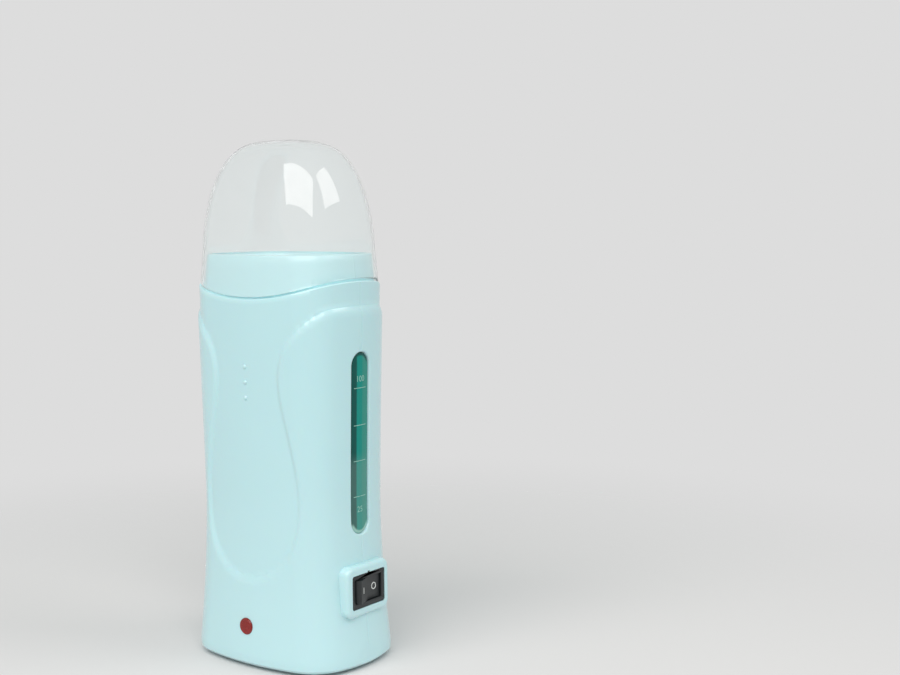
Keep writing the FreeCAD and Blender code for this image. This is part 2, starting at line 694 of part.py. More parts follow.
def switch_opening():
    """What the switch takes out of the pad and the wall behind it."""
    recess = switch_block(SWITCH_CLEARANCE, 0.0, SWITCH_BEZEL_THICKNESS + SWITCH_SUNK, PAD_FACE_X)
    key = switch_key(SWITCH_CLEARANCE, BEZEL_FACE_X)
    key_way = switch_key(SWITCH_CLEARANCE, PAD_FACE_X)
    through = switch_block(SWITCH_CLEARANCE, SWITCH_BODY_STEP, FAR / 2, PAD_FACE_X)
    return fuse_all([recess, key, key_way, through])


def switch_housing():
    """Bezel and case, hollow where the rocker swings, with a bearing hole in each side wall."""
    bezel = switch_block(0.0, 0.0, SWITCH_BEZEL_THICKNESS, BEZEL_FACE_X)
    case = switch_block(0.0, SWITCH_BODY_STEP, SWITCH_BODY_DEPTH, BEZEL_FACE_X)
    half_height = SWITCH_HEIGHT / 2 - SWITCH_BORDER
    half_width = SWITCH_WIDTH / 2 - SWITCH_BORDER
    floor_x = ROCKER_X - ROCKER_CAVITY_DEPTH
    cavity = box(
        floor_x, FAR, -half_width, half_width, SWITCH_Z - half_height, SWITCH_Z + half_height
    )
    bore_length = 2 * (ROCKER_HALF_HEIGHT + TRUNNION_LENGTH + TRUNNION_CLEARANCE)
    bore_start = Vector(ROCKER_X, 0, SWITCH_Z - bore_length / 2)
    bore = rod(TRUNNION_DIAMETER + 2 * TRUNNION_CLEARANCE, bore_start, Z_AXIS, bore_length)
    solid = fuse_all([bezel, case, switch_key(0.0, BEZEL_FACE_X)])
    return solid.cut(cavity).cut(bore)


def switch_rocker():
    """Rocker with a shallow V face and round ends, lying with its +Y end pressed in."""
    slope = math.tan(math.radians(ROCKER_THROW / 2))
    # the face line x = valley + slope * y meets the end radius here:
    a = 1 + slope**2
    b = slope * ROCKER_VALLEY
    c = ROCKER_VALLEY**2 - ROCKER_RADIUS**2
    end_y = (-b + math.sqrt(b**2 - a * c)) / a
    end_x = ROCKER_VALLEY + slope * end_y
    keel_y = math.sqrt(ROCKER_RADIUS**2 - ROCKER_KEEL**2)
    tip_right = Vector(end_x, end_y, 0)
    tip_left = Vector(end_x, -end_y, 0)
    keel_right = Vector(-ROCKER_KEEL, keel_y, 0)
    keel_left = Vector(-ROCKER_KEEL, -keel_y, 0)
    valley = Vector(ROCKER_VALLEY, 0, 0)
    wire = Part.Wire(
        [
            Part.makeLine(valley, tip_right),
            Part.Arc(tip_right, Vector(0, ROCKER_RADIUS, 0), keel_right).toShape(),
            Part.makeLine(keel_right, keel_left),
            Part.Arc(keel_left, Vector(0, -ROCKER_RADIUS, 0), tip_left).toShape(),
            Part.makeLine(tip_left, valley),
        ]
    )
    body = Part.Face(wire).extrude(Vector(0, 0, 2 * ROCKER_HALF_HEIGHT))
    body.translate(Vector(0, 0, -ROCKER_HALF_HEIGHT))
    length = 2 * (ROCKER_HALF_HEIGHT + TRUNNION_LENGTH)
    trunnion = rod(TRUNNION_DIAMETER, Vector(0, 0, -length / 2), Z_AXIS, length)
    rocker = body.fuse(trunnion)
    rocker.rotate(ORIGIN, Z_AXIS, ROCKER_THROW / 2)
    rocker.translate(Vector(ROCKER_X, 0, SWITCH_Z))
    return rocker


def switch_terminals():
    back_x = BEZEL_FACE_X - SWITCH_BODY_DEPTH
    blades = []
    for side in (-1, 1):
        y = side * TERMINAL_SPACING / 2
        blade = box(
            back_x - TERMINAL_LENGTH,
            back_x,
            y - TERMINAL_THICKNESS / 2,
            y + TERMINAL_THICKNESS / 2,
            SWITCH_Z - TERMINAL_WIDTH / 2,
            SWITCH_Z + TERMINAL_WIDTH / 2,
        )
        hole_start = Vector(back_x - TERMINAL_LENGTH + 2.0, y - 1, SWITCH_Z)
        blades.append(blade.cut(rod(1.5, hole_start, Y_AXIS, 2)))
    return Part.makeCompound(blades)


# ------------------------------------------------------------------------ inlet
INLET_FACE_Y = body_half_depth(INLET_Z) + INLET_PROUD
INLET_SEAT_Y = INLET_FACE_Y - INLET_FLANGE_THICKNESS


def inlet_block(width, height, corner, y_low, y_high):
    block = rounded_prism(width / 2, height / 2, corner, 0, y_high - y_low)
    return facing_back(block, y_low, INLET_Z)


def inlet_opening():
    """Flat seat for the inlet's flange and the hole for its body."""
    grow = 2 * INLET_CLEARANCE
    seat = inlet_block(
        INLET_FLANGE_WIDTH + grow,
        INLET_FLANGE_HEIGHT + grow,
        INLET_FLANGE_CORNER + INLET_CLEARANCE,
        INLET_SEAT_Y,
        FAR,
    )
    hole = inlet_block(
        INLET_BODY_WIDTH + grow, INLET_BODY_HEIGHT + grow, INLET_FLANGE_CORNER / 2, 0, FAR
    )
    return seat.fuse(hole)


def inlet_housing():
    """Two-pole appliance inlet: flange, body and a recess of two round lobes."""
    flange = inlet_block(
        INLET_FLANGE_WIDTH, INLET_FLANGE_HEIGHT, INLET_FLANGE_CORNER, INLET_SEAT_Y, INLET_FACE_Y
    )
    body = inlet_block(
        INLET_BODY_WIDTH,
        INLET_BODY_HEIGHT,
        INLET_FLANGE_CORNER / 2,
        INLET_FACE_Y - INLET_BODY_DEPTH,
        INLET_SEAT_Y,
    )
    floor_y = INLET_FACE_Y - SOCKET_DEPTH
    half_waist = SOCKET_WAIST / 2
    half_span = SOCKET_LOBE_SPACING / 2
    recess = [box(-half_span, half_span, floor_y, FAR, INLET_Z - half_waist, INLET_Z + half_waist)]
    for side in (-1, 1):
        lobe_start = Vector(side * half_span, floor_y, INLET_Z)
        recess.append(rod(2 * SOCKET_LOBE_RADIUS, lobe_start, Y_AXIS, FAR))
        pin_hole_start = Vector(side * PIN_SPACING / 2, -FAR, INLET_Z)
        recess.append(rod(PIN_DIAMETER + 2 * PIN_FIT, pin_hole_start, Y_AXIS, 2 * FAR))
    return cut_all(flange.fuse(body), recess)


def inlet_pins():
    """Two round pins that end in flat solder tabs behind the inlet."""
    pins = []
    back_y = INLET_FACE_Y - INLET_BODY_DEPTH
    tip_y = INLET_FACE_Y - SOCKET_DEPTH + PIN_LENGTH
    for side in (-1, 1):
        x = side * PIN_SPACING / 2
        pin = rod(PIN_DIAMETER, Vector(x, back_y, INLET_Z), Y_AXIS, tip_y - back_y)
        tip = [edge for edge in pin.Edges if edge.BoundBox.YMin > tip_y - 0.01]
        pin = pin.makeChamfer(PIN_DIAMETER / 4, tip)
        tab = box(
            x - TAB_WIDTH / 2,
            x + TAB_WIDTH / 2,
            back_y - TAB_LENGTH,
            back_y,
            INLET_Z - TAB_THICKNESS / 2,
            INLET_Z + TAB_THICKNESS / 2,
        )
        pins.append(pin.fuse(tab))
    return Part.makeCompound(pins)


# ------------------------------------------------------------- indicator, board
LENS_SEAT_Y = -(wall_inside_y(LENS_Z) + LENS_SEAT)
LED_TIP_Y = LENS_SEAT_Y + LENS_FLANGE_THICKNESS + LED_GAP
BOARD_FRONT_Y = LED_TIP_Y + LED_DIAMETER / 2 + LED_BARREL + LED_FLANGE_THICKNESS
BOARD_BOTTOM = BASE_TOP + BOARD_SLOT_FLOOR


def lens_opening():
    hole = rod(LENS_DIAMETER + 2 * LENS_CLEARANCE, Vector(0, -FAR, LENS_Z), Y_AXIS, FAR)
    seat = rod(LENS_FLANGE_DIAMETER + 4 * LENS_CLEARANCE, Vector(0, LENS_SEAT_Y, LENS_Z), Y_AXIS, FAR / 8)
    return hole.fuse(seat)


def indicator_lens():
    """Lens with a flange inside the wall and a domed face a little proud of the front."""
    face_y = -(body_half_depth(LENS_Z) + LENS_PROUD)
    stem = rod(LENS_DIAMETER, Vector(0, face_y, LENS_Z), Y_AXIS, LENS_SEAT_Y - face_y)
    rim = [edge for edge in stem.Edges if edge.BoundBox.YMax < face_y + 0.01]
    flange = rod(LENS_FLANGE_DIAMETER, Vector(0, LENS_SEAT_Y, LENS_Z), Y_AXIS, LENS_FLANGE_THICKNESS)
    return stem.makeFillet(LENS_PROUD, rim).fuse(flange)


def indicator_led():
    dome_centre = Vector(0, LED_TIP_Y + LED_DIAMETER / 2, LENS_Z)
    dome = Part.makeSphere(LED_DIAMETER / 2, dome_centre)
    barrel = rod(LED_DIAMETER, dome_centre, Y_AXIS, LED_BARREL + LED_FLANGE_THICKNESS)
    flange_start = Vector(0, BOARD_FRONT_Y - LED_FLANGE_THICKNESS, LENS_Z)
    flange = rod(LED_FLANGE_DIAMETER, flange_start, Y_AXIS, LED_FLANGE_THICKNESS)
    return fuse_all([dome, barrel, flange])


def control_board():
    half = BOARD_WIDTH / 2
    back_y = BOARD_FRONT_Y + BOARD_THICKNESS
    return box(-half, half, BOARD_FRONT_Y, back_y, BOARD_BOTTOM, BOARD_BOTTOM + BOARD_HEIGHT)


def resistor():
    """Leaded resistor with a waisted body, lying on the back of the board."""
    radius = RESISTOR_DIAMETER / 2
    y = BOARD_FRONT_Y + BOARD_THICKNESS + radius + FUSE_SEAT
    low = LENS_Z - RESISTOR_LENGTH / 2
    end = RESISTOR_LENGTH / 4
    barrel = rod(RESISTOR_WAIST, Vector(RESISTOR_X, y, low), Z_AXIS, RESISTOR_LENGTH)
    knobs = []
    for z in (low, low + RESISTOR_LENGTH - end):
        knobs.append(rod(RESISTOR_DIAMETER, Vector(RESISTOR_X, y, z), Z_AXIS, end))
    return fuse_all([barrel] + knobs)


# ------------------------------------------------------------------------- base
def four_corners(x, y):
    return [(side_x * x, side_y * y) for side_y in (-1, 1) for side_x in (-1, 1)]


def base_plate():
    """Plate that closes the bottom, with seats for feet and screws and two slotted board posts."""
    plate = body_form(SHELL_INSET + BASE_CLEARANCE, FOOT_HEIGHT, BASE_TOP, 1)
    half_fit = BOARD_THICKNESS / 2 + BOARD_FIT
    board_middle = BOARD_FRONT_Y + BOARD_THICKNESS / 2
    posts = []
    for side in (-1, 1):
        x = side * (BOARD_WIDTH / 2 - BOARD_POST / 2)
        half = BOARD_POST / 2
        deep = half_fit + BOARD_POST / 2
        y_low = board_middle - deep
        post = box(x - half, x + half, y_low, y_low + 2 * deep, BASE_TOP, BASE_TOP + BOARD_POST_HEIGHT)
        slot = box(x - half, x + half, board_middle - half_fit, board_middle + half_fit, BOARD_BOTTOM, FAR)
        posts.append(post.cut(slot))
    plate = fuse_all([plate] + posts)
    tools = []
    for x, y in four_corners(FOOT_X, FOOT_Y):
        tools.append(rod(FOOT_DIAMETER + BOARD_FIT, Vector(x, y, 0), Z_AXIS, FOOT_HEIGHT + FOOT_SINK))
    for x, y in four_corners(BASE_BOSS_X, BASE_BOSS_Y):
        head_top = FOOT_HEIGHT + SCREW_HEAD_HEIGHT
        head_room = SCREW_HEAD_DIAMETER + SCREW_HEAD_CLEARANCE
        tools.append(rod(head_room, Vector(x, y, 0), Z_AXIS, head_top))
        tools.append(rod(SCREW_DIAMETER + 2 * SCREW_FIT, Vector(x, y, 0), Z_AXIS, FAR))
    return cut_all(plate, tools)


def foot(x, y):
    shape = rod(FOOT_DIAMETER, Vector(x, y, 0), Z_AXIS, FOOT_HEIGHT + FOOT_SINK)
    rim = [edge for edge in shape.Edges if edge.BoundBox.ZMax < 0.01]
    return shape.makeChamfer(FOOT_ROUND, rim)


def screw(head_start, direction, length):
    """Pan-head screw: head_start is the outer face of its head."""
    head = rod(SCREW_HEAD_DIAMETER, head_start, direction, SCREW_HEAD_HEIGHT)
    shank_start = head_start + direction * SCREW_HEAD_HEIGHT
    slot_width = SCREW_HEAD_DIAMETER / 6
    reach = SCREW_HEAD_DIAMETER
    cross = [
        box(-slot_width / 2, slot_width / 2, -reach / 3, reach / 3, -1, SCREW_HEAD_HEIGHT / 2),
        box(-reach / 3, reach / 3, -slot_width / 2, slot_width / 2, -1, SCREW_HEAD_HEIGHT / 2),
    ]
    turn = FreeCAD.Placement(head_start, FreeCAD.Rotation(Z_AXIS, direction))
    for tool in cross:
        tool.Placement = turn.multiply(tool.Placement)
    shank = rod(SCREW_DIAMETER, shank_start, direction, length)
    return cut_all(head, cross).fuse(shank)


def base_screws():
    screws = []
    for x, y in four_corners(BASE_BOSS_X, BASE_BOSS_Y):
        screws.append(screw(Vector(x, y, FOOT_HEIGHT), Z_AXIS, BASE_SCREW_LENGTH))
    return Part.makeCompound(screws)


def shell_screws():
    screws = []
    start_y = SHELL_HEAD_SEAT + SCREW_HEAD_HEIGHT
    for side in (-1, 1):
        start = Vector(side * SHELL_BOSS_X, start_y, SHELL_BOSS_Z)
        screws.append(screw(start, -Y_AXIS, SHELL_SCREW_LENGTH))
    return Part.makeCompound(screws)


# ----------------------------------------------------------------------- shells
def bosses():
    """Screw bosses of both shells with ribs to the wall, before trimming to the body."""
    shapes = []
    for x, y in four_corners(BASE_BOSS_X, BASE_BOSS_Y):
        shapes.append(rod(BOSS_DIAMETER, Vector(x, y, BASE_TOP), Z_AXIS, BASE_BOSS_HEIGHT))
        low, high = sorted((y, math.copysign(FAR, y)))
        half = RIB_THICKNESS / 2
        shapes.append(box(x - half, x + half, low, high, BASE_TOP, BASE_TOP + BASE_BOSS_HEIGHT))
    for side in (-1, 1):
        start = Vector(side * SHELL_BOSS_X, -FAR, SHELL_BOSS_Z)
        shapes.append(rod(SHELL_BOSS_DIAMETER, start, Y_AXIS, 2 * FAR))
    inner = body_form(SHELL_INSET - WALL / 2, FOOT_HEIGHT, CRADLE_BOTTOM, CAVITY_STEPS)
    return [shape.common(inner) for shape in shapes]


def screw_holes():
    tools = []
    fit = SCREW_DIAMETER + 2 * SCREW_FIT
    for x, y in four_corners(BASE_BOSS_X, BASE_BOSS_Y):
        depth = BASE_SCREW_LENGTH + SCREW_HEAD_HEIGHT + FOOT_HEIGHT
        tools.append(rod(fit, Vector(x, y, 0), Z_AXIS, depth + SCREW_HOLE_SPARE))
    head_room = SCREW_HEAD_DIAMETER + SCREW_HEAD_CLEARANCE
    for side in (-1, 1):
        seat = Vector(side * SHELL_BOSS_X, SHELL_HEAD_SEAT, SHELL_BOSS_Z)
        tools.append(rod(head_room, seat, Y_AXIS, FAR))
        tools.append(rod(fit, seat, -Y_AXIS, SHELL_SCREW_LENGTH + SCREW_HOLE_SPARE))
    return tools


def shell_outside():
    """Body with raised grip skins, wavy shoulder, collar, pad and dots, still solid."""
    core = body_form(SKIN_RAISE, FOOT_HEIGHT, COLLAR_TOP, BODY_STEPS)
    skins = skin_form().cut(panel_prism().cut(core))
    body = skins.common(below_seam(SEAM_GAP))
    return fuse_all([body, collar_form(), switch_pad()] + dots())


def shell_hollows():
    """The room inside, the straight mouth above and below the ledge, and the well's hole."""
    ledge_bottom = LEDGE_TOP - LEDGE_THICKNESS
    return [
        room_inside(0.0, FOOT_HEIGHT, CAVITY_TOP),
        mouth(0.0, CAVITY_TOP, ledge_bottom),
        mouth(0.0, LEDGE_TOP, COLLAR_TOP),
        well_prism(WELL_WALL + LEDGE_CLEARANCE, ledge_bottom, LEDGE_TOP),
    ]


def shells():
    """Front and back half shells, parted in the plane y = 0."""
    outside = shell_outside()
    walls = cut_all(outside, shell_hollows())
    walls = fuse_all([walls, cradle_ledge()] + bosses())
    walls = walls.cut(stadium(0.0)).cut(switch_opening())
    walls = cut_all(walls, screw_holes())
    front = walls.common(box(-FAR, FAR, -FAR, 0, -1, CAP_TOP)).cut(lens_opening())
    back = walls.common(box(-FAR, FAR, 0, FAR, -1, CAP_TOP)).cut(inlet_opening())
    return front, back


def main():
    os.makedirs("parts", exist_ok=True)
    front, back = shells()
    write("front_shell", front)
    write("back_shell", back)
    write("cap", cap())
    write("top_ring", top_ring())
    write("heating_well", heating_well())
    write("well_cradle", well_cradle())
    right, left = windows()
    write("window_right", right)
    write("window_left", left)
    for name, side in (("front", -1), ("back", 1)):
        spreader, element = heater_plates(side)
        write("heater_spreader_" + name, spreader)
        write("heater_element_" + name, element)
    write("heater_band_lower", heater_band(SPREADER_BOTTOM + BAND_INSET))
    write("heater_band_upper", heater_band(SPREADER_TOP - BAND_INSET - BAND_HEIGHT))
    write("thermostat", thermostat())
    write("thermal_fuse", thermal_fuse())
    write("switch_housing", switch_housing())
    write("switch_rocker", switch_rocker())
    write("switch_terminals", switch_terminals())
    write("inlet_housing", inlet_housing())
    write("inlet_pins", inlet_pins())
    write("indicator_lens", indicator_lens())
    write("indicator_led", indicator_led())
    write("control_board", control_board())
    write("resistor", resistor())
    write("base_plate", base_plate())
    for number, (x, y) in enumerate(four_corners(FOOT_X, FOOT_Y), start=1):
        write("foot_" + str(number), foot(x, y))
    write("base_screws", base_screws())
    write("shell_screws", shell_screws())


main()
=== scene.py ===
import math

import bmesh
import bpy
import numpy as np
from bpy.props import FloatProperty, FloatVectorProperty, PointerProperty
from mathutils import Matrix, Vector
from mathutils.bvhtree import BVHTree
from mathutils.kdtree import KDTree


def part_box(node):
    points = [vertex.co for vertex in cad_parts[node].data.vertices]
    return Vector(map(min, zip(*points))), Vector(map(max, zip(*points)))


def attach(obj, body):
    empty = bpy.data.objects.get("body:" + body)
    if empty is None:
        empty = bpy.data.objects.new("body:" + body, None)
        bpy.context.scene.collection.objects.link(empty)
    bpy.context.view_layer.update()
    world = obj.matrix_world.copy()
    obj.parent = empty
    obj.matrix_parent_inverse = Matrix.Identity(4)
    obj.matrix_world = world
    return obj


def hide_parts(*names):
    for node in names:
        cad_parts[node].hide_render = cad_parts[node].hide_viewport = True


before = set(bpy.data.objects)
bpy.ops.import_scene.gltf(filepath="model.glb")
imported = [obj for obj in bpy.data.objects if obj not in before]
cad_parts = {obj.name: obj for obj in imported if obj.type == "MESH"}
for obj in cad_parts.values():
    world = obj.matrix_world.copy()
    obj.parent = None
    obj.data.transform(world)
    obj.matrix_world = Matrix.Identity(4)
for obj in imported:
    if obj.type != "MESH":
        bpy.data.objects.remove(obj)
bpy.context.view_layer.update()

bl_info = {
    "name": "Roll-on Wax Heater",
    "version": (1, 0, 0),
    "blender": (4, 5, 0),
    "location": "3D View > Sidebar > Heater",
    "description": "Dresses the packed heater: soft shells, clear cap, windows, switch, base and stage",
    "category": "Object",
}

MM = 0.001

# --------------------------------------------- sizes of the form, in millimetres
SEAM_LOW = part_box("cap")[0].z / MM
COLLAR_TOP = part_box("front_shell")[1].z / MM
CAP_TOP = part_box("cap")[1].z / MM
FOOT_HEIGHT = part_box("base_plate")[0].z / MM
PAD_FACE_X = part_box("front_shell")[1].x / MM
BEZEL_FACE_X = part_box("switch_housing")[1].x / MM
SWITCH_MIDDLE = (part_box("switch_housing")[0].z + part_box("switch_housing")[1].z) / 2 / MM

FRONT_ARC = 2.88  # radii of the plan's arcs over its half width
SIDE_ARC = 1.21
CORNER_ARC = 0.485
WAIST_HALF_WIDTH = 32.9
WAIST_HALF_DEPTH = 24.3
PLAN_RATIO = WAIST_HALF_WIDTH / WAIST_HALF_DEPTH
WAIST_Z = 58.0
BASE_FLARE = 3.8
BASE_FLARE_POWER = 1.7
SHOULDER_FLARE = 1.3
SHOULDER_FLARE_POWER = 1.25
SHOULDER_RISE = 60.0
SKIN_RAISE = 1.0
SHELL_INSET = 2.8

CAP_SPRING_Z = 150.0
CAP_STEP_IN = 0.2  # the cap's rim stands this far inside the panel under it
CAP_DRAFT = 0.094
DOME_SIDE_POWER = 1.7
DOME_TOP_POWER = 3.6
SEAM_RISE = 5.7
SEAM_POWER = 2.2
SEAM_GAP = 0.3
CAP_WALL = 0.8
COLLAR_INSET = 1.5  # the collar stands this far inside the cap's outer face

PANEL_BOWL = [(0.0, 33.5), (16.2, 42.0), (21.2, 60.0)]
PANEL_NECK = [(16.2, 42.4), (14.2, 27.5), (16.6, 18.0), (24.8, 9.0)]
PANEL_ARCH_DROP = 3.0
PANEL_REACH = 60.0  # the arch runs on level past the side of the body
PANEL_SAMPLES = 200  # along each span of the panel's edge
PANEL_PITCH = 0.2  # between samples on the level run
DOT_DROP = 24.6
DOT_PITCH = 5.6
DOT_COUNT = 3
DOT_DIAMETER = 1.7
DOT_HEIGHT = 0.45

WINDOW_LOW = 48.8
WINDOW_HIGH = 114.4
WINDOW_HALF_WIDTH = 4.75
WINDOW_FLANGE = 1.5
WINDOW_FLANGE_THICKNESS = 1.1
WINDOW_PLAY = 0.1
WINDOW_SEAT = SHELL_INSET + WINDOW_PLAY
WINDOW_BACK = WINDOW_SEAT + WINDOW_FLANGE_THICKNESS
WINDOW_ARC_STEPS = 24
WINDOW_CORE = 0.15  # half width of the ring that closes a window's solid

STRIP_PAINTED_LIGHT = (0.8, 1.6)  # across a window, where painted light comes in on its lighter side
STRIP_PAINTED_SHADE = (-1.4, -2.2)  # and where painted shade comes in, on the other side
STRIP_MILKY = (79.0, 73.0)  # down a window, where wax begins to show
STRIP_MILKINESS = 0.17
STRIP_END_RIM = (3.1, 4.0)  # from the middle of a round end, where the crescent of painted shade at the top and of painted highlight at the bottom begins
STRIP_END_RISE = (0.3, 2.2)

PAD_HALF_WIDTH = 11.75
PAD_LOW = 19.7
PAD_HIGH = 38.4
PAD_CORNER = 3.2

UNDER = 0.07  # the soft skin stays this far inside the solid's own facets


# ----------------------------------------- properties
def linear(colour):
    """A colour written as #RRGGBB in sRGB, as linear red, green, blue."""
    values = [int(colour[i : i + 2], 16) / 255 for i in (1, 3, 5)]
    return [v / 12.92 if v <= 0.04045 else ((v + 0.055) / 1.055) ** 2.4 for v in values]


def length(name, description, millimetres):
    return FloatProperty(name=name, description=description, default=millimetres * MM, unit="LENGTH")


def angle(name, description, degrees):
    return FloatProperty(name=name, description=description, default=math.radians(degrees), subtype="ANGLE")


def colour(name, description, value):
    return FloatVectorProperty(
        name=name, description=description, default=linear(value), size=3, subtype="COLOR", min=0, max=1
    )


class HeaterSizes(bpy.types.PropertyGroup):
    """Sizes that a maker would change on the dressed pieces."""

    step_width: length("Skin step", "Width over which a grip skin rolls down to the panel", 1.9)
    shoulder_round: length("Shoulder round", "Radius of the edge under the cap", 1.1)
    groove_width: length("Parting line, half width", "Half width of the line where the shells meet", 0.3)
    groove_depth: length("Parting line depth", "Depth of the line where the shells meet", 0.12)
    pad_round: length("Pad round", "Radius of the soft edge of the switch pad", 1.5)
    window_crown: length("Window crown", "How far the window's middle stands above its edge", 0.22)
    window_round: length("Window round", "Radius of the edge of the window", 0.45)
    cap_lip_round: length("Cap lip round", "Radius of the edges of the cap's rim", 0.3)


class HeaterFinish(bpy.types.PropertyGroup):
    """Colours of the finishes, in sRGB before they are made linear."""

    mint: colour("Mint", "Colour of the moulded shells", "#C4E9EE")
    cap: colour("Clear cap", "Tint of the clear dome", "#FDFFFF")
    window: colour("Window", "Tint of the window plastic", "#04A699")
    # Painted shade: the strip's dark side and the crescent at its upper end.
    window_painted_shade: colour("Window, painted shade", "Painted shade on the strip's dark side and its upper end", "#065F59")
    # Painted light: the strip's lighter side, as light coming through it would show.
    window_painted_light_side: colour("Window, painted light", "Painted light on the strip's lighter side", "#37A898")
    window_milky: colour("Window, milky", "Tint that wax gives the lower part of the strip", "#B9CFCA")
    # Painted highlight: a bright crescent at the strip's lower end.
    window_painted_end_light: colour("Window, painted end light", "Painted highlight at the strip's lower end", "#BDEBE0")
    black: colour("Black", "Colour of the switch and the inlet", "#1B2022")
    print_ink: colour("Print", "Colour of the printed scale", "#8FC2B4")
    floor: colour("Floor", "Colour of the floor", "#E8E4E4")


class HeaterStage(bpy.types.PropertyGroup):
    """Where the camera stands, and the colours of the light."""

    distance: length("Distance", "Camera to the middle of the heater", 500.0)
    height: length("Height", "Camera above the floor", 164.0)
    azimuth: angle("Azimuth", "Camera's place round the heater", -47.3)
    aside: angle("Aside", "Turn to the right, off the heater", 6.77)
    down: angle("Down", "Tilt below level", 5.35)
    lean: angle("Lean", "Clockwise roll of the camera", 0.41)
    lens: FloatProperty(name="Lens", description="Focal length in mm", default=54.08, min=1.0)
    backdrop: colour("Backdrop", "Colour seen behind the heater", "#DDDDDD")
    air: colour("Air", "Light from all round that falls on the heater", "#AAB4B4")
    lamp: colour("Lamp", "Colour of the soft boxes", "#FFFBF8")


# ---------------------------------------- small tools
FLAT_WITHIN = math.radians(1.0)  # facets that turn by less are one flat face
SHARP_FROM = math.radians(40.0)  # edges that turn by more are rounded


def deselect():
    bpy.ops.object.select_all(action="DESELECT")


def take(obj):
    """Makes one object the only one selected, and the active one."""
    deselect()
    obj.select_set(True)
    bpy.context.view_layer.objects.active = obj
    return obj


def settle(obj):
    """Moves an object's place, turn and size into its mesh."""
    take(obj)
    bpy.ops.object.transform_apply(location=True, rotation=True, scale=True)
    return obj


def finish_modifier(obj, kind, **settings):
    modifier = obj.modifiers.new(kind.lower(), kind)
    for name, value in settings.items():
        setattr(modifier, name, value)
    take(obj)
    bpy.ops.object.modifier_apply(modifier=modifier.name)
    return obj


def combine(obj, tool, operation):
    """Adds, cuts or keeps the common part of two closed solids; the tool is used up."""
    finish_modifier(obj, "BOOLEAN", object=tool, operation=operation, solver="MANIFOLD")
    bpy.data.objects.remove(tool)
    return obj


def joined(parts):
    """Makes several objects one."""
    take(parts[0])
    for part in parts:
        part.select_set(True)
    bpy.ops.object.join()
    return bpy.context.object


def select_where(obj, kind, test):
    """In edit mode, selects the edges or faces that pass a test, and no others."""
    bpy.ops.mesh.select_mode(type=kind)
    mesh = bmesh.from_edit_mesh(obj.data)
    for one in mesh.edges if kind == "EDGE" else mesh.faces:
        one.select_set(test(one))
    bmesh.update_edit_mesh(obj.data)


def smooth(obj, degrees=35.0):
    take(obj)
    bpy.ops.object.shade_smooth_by_angle(angle=math.radians(degrees))
    return obj


def dress(obj, name, material, body, slot, *replaced):
    """Names a finished piece, gives it its finish and body, and hides the CAD parts that it stands for."""
    obj.name = name
    obj.data.name = name
    obj.data.materials.clear()
    obj.data.materials.append(material)
    if replaced:
        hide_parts(*replaced)
    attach(obj, body)
    return obj


def wrapped_tube(columns):
    """A closed cylinder whose vertices are moved to these columns of points, in millimetres."""
    count, rows = len(columns), len(columns[0])
    deselect()
    bpy.ops.mesh.primitive_cylinder_add(vertices=count, radius=1, depth=rows - 1, end_fill_type="NGON")
    obj = bpy.context.object
    bpy.ops.object.mode_set(mode="EDIT")
    select_where(obj, "EDGE", lambda edge: abs(edge.verts[0].co.z - edge.verts[1].co.z) > 0.5)
    bpy.ops.mesh.subdivide(number_cuts=rows - 2)
    bpy.ops.object.mode_set(mode="OBJECT")
    for vertex in obj.data.vertices:
        column = round(math.atan2(vertex.co.y, vertex.co.x) / math.tau * count) % count
        row = round(vertex.co.z + (rows - 1) / 2)
        vertex.co = Vector(columns[column][row]) * MM
    return obj


def merged_copy(node):
    """A copy of a CAD node with its loose triangles joined."""
    deselect()
    obj = bpy.data.objects.new("copy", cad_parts[node].data.copy())
    bpy.context.scene.collection.objects.link(obj)
    take(obj)
    bpy.ops.mesh.customdata_custom_splitnormals_clear()
    bpy.ops.object.mode_set(mode="EDIT")
    bpy.ops.mesh.select_all(action="SELECT")
    bpy.ops.mesh.remove_doubles(threshold=0.001 * MM)
    bpy.ops.object.mode_set(mode="OBJECT")
    return obj


def softened_copy(node, width):
    """A copy of a CAD node with flat faces made whole and its sharp edges rounded, width in millimetres."""
    obj = merged_copy(node)
    bpy.ops.object.mode_set(mode="EDIT")
    bpy.ops.mesh.select_all(action="SELECT")
    bpy.ops.mesh.dissolve_limited(angle_limit=FLAT_WITHIN)
    bpy.ops.object.mode_set(mode="OBJECT")
    finish_modifier(
        obj,
        "BEVEL",
        width=width * MM,
        segments=2,
        limit_method="ANGLE",
        angle_limit=SHARP_FROM,
        use_clamp_overlap=True,
        miter_outer="MITER_ARC",
    )
    return smooth(obj)


# ---------------------------------------- form of the body
def body_half_width(z):
    if z < WAIST_Z:
        return WAIST_HALF_WIDTH + BASE_FLARE * ((WAIST_Z - z) / WAIST_Z) ** BASE_FLARE_POWER
    return WAIST_HALF_WIDTH + SHOULDER_FLARE * ((z - WAIST_Z) / SHOULDER_RISE) ** SHOULDER_FLARE_POWER


CAP_SPRING_HALF_WIDTH = (
    body_half_width(SEAM_LOW) - SKIN_RAISE - CAP_STEP_IN - CAP_DRAFT * (CAP_SPRING_Z - SEAM_LOW)
)
PANEL_TOP = SEAM_LOW - PANEL_ARCH_DROP


def seam_z(x):
    return SEAM_LOW + SEAM_RISE * (abs(x) / CAP_SPRING_HALF_WIDTH) ** SEAM_POWER


def cap_half_width(z):
    return CAP_SPRING_HALF_WIDTH + CAP_DRAFT * (CAP_SPRING_Z - z)


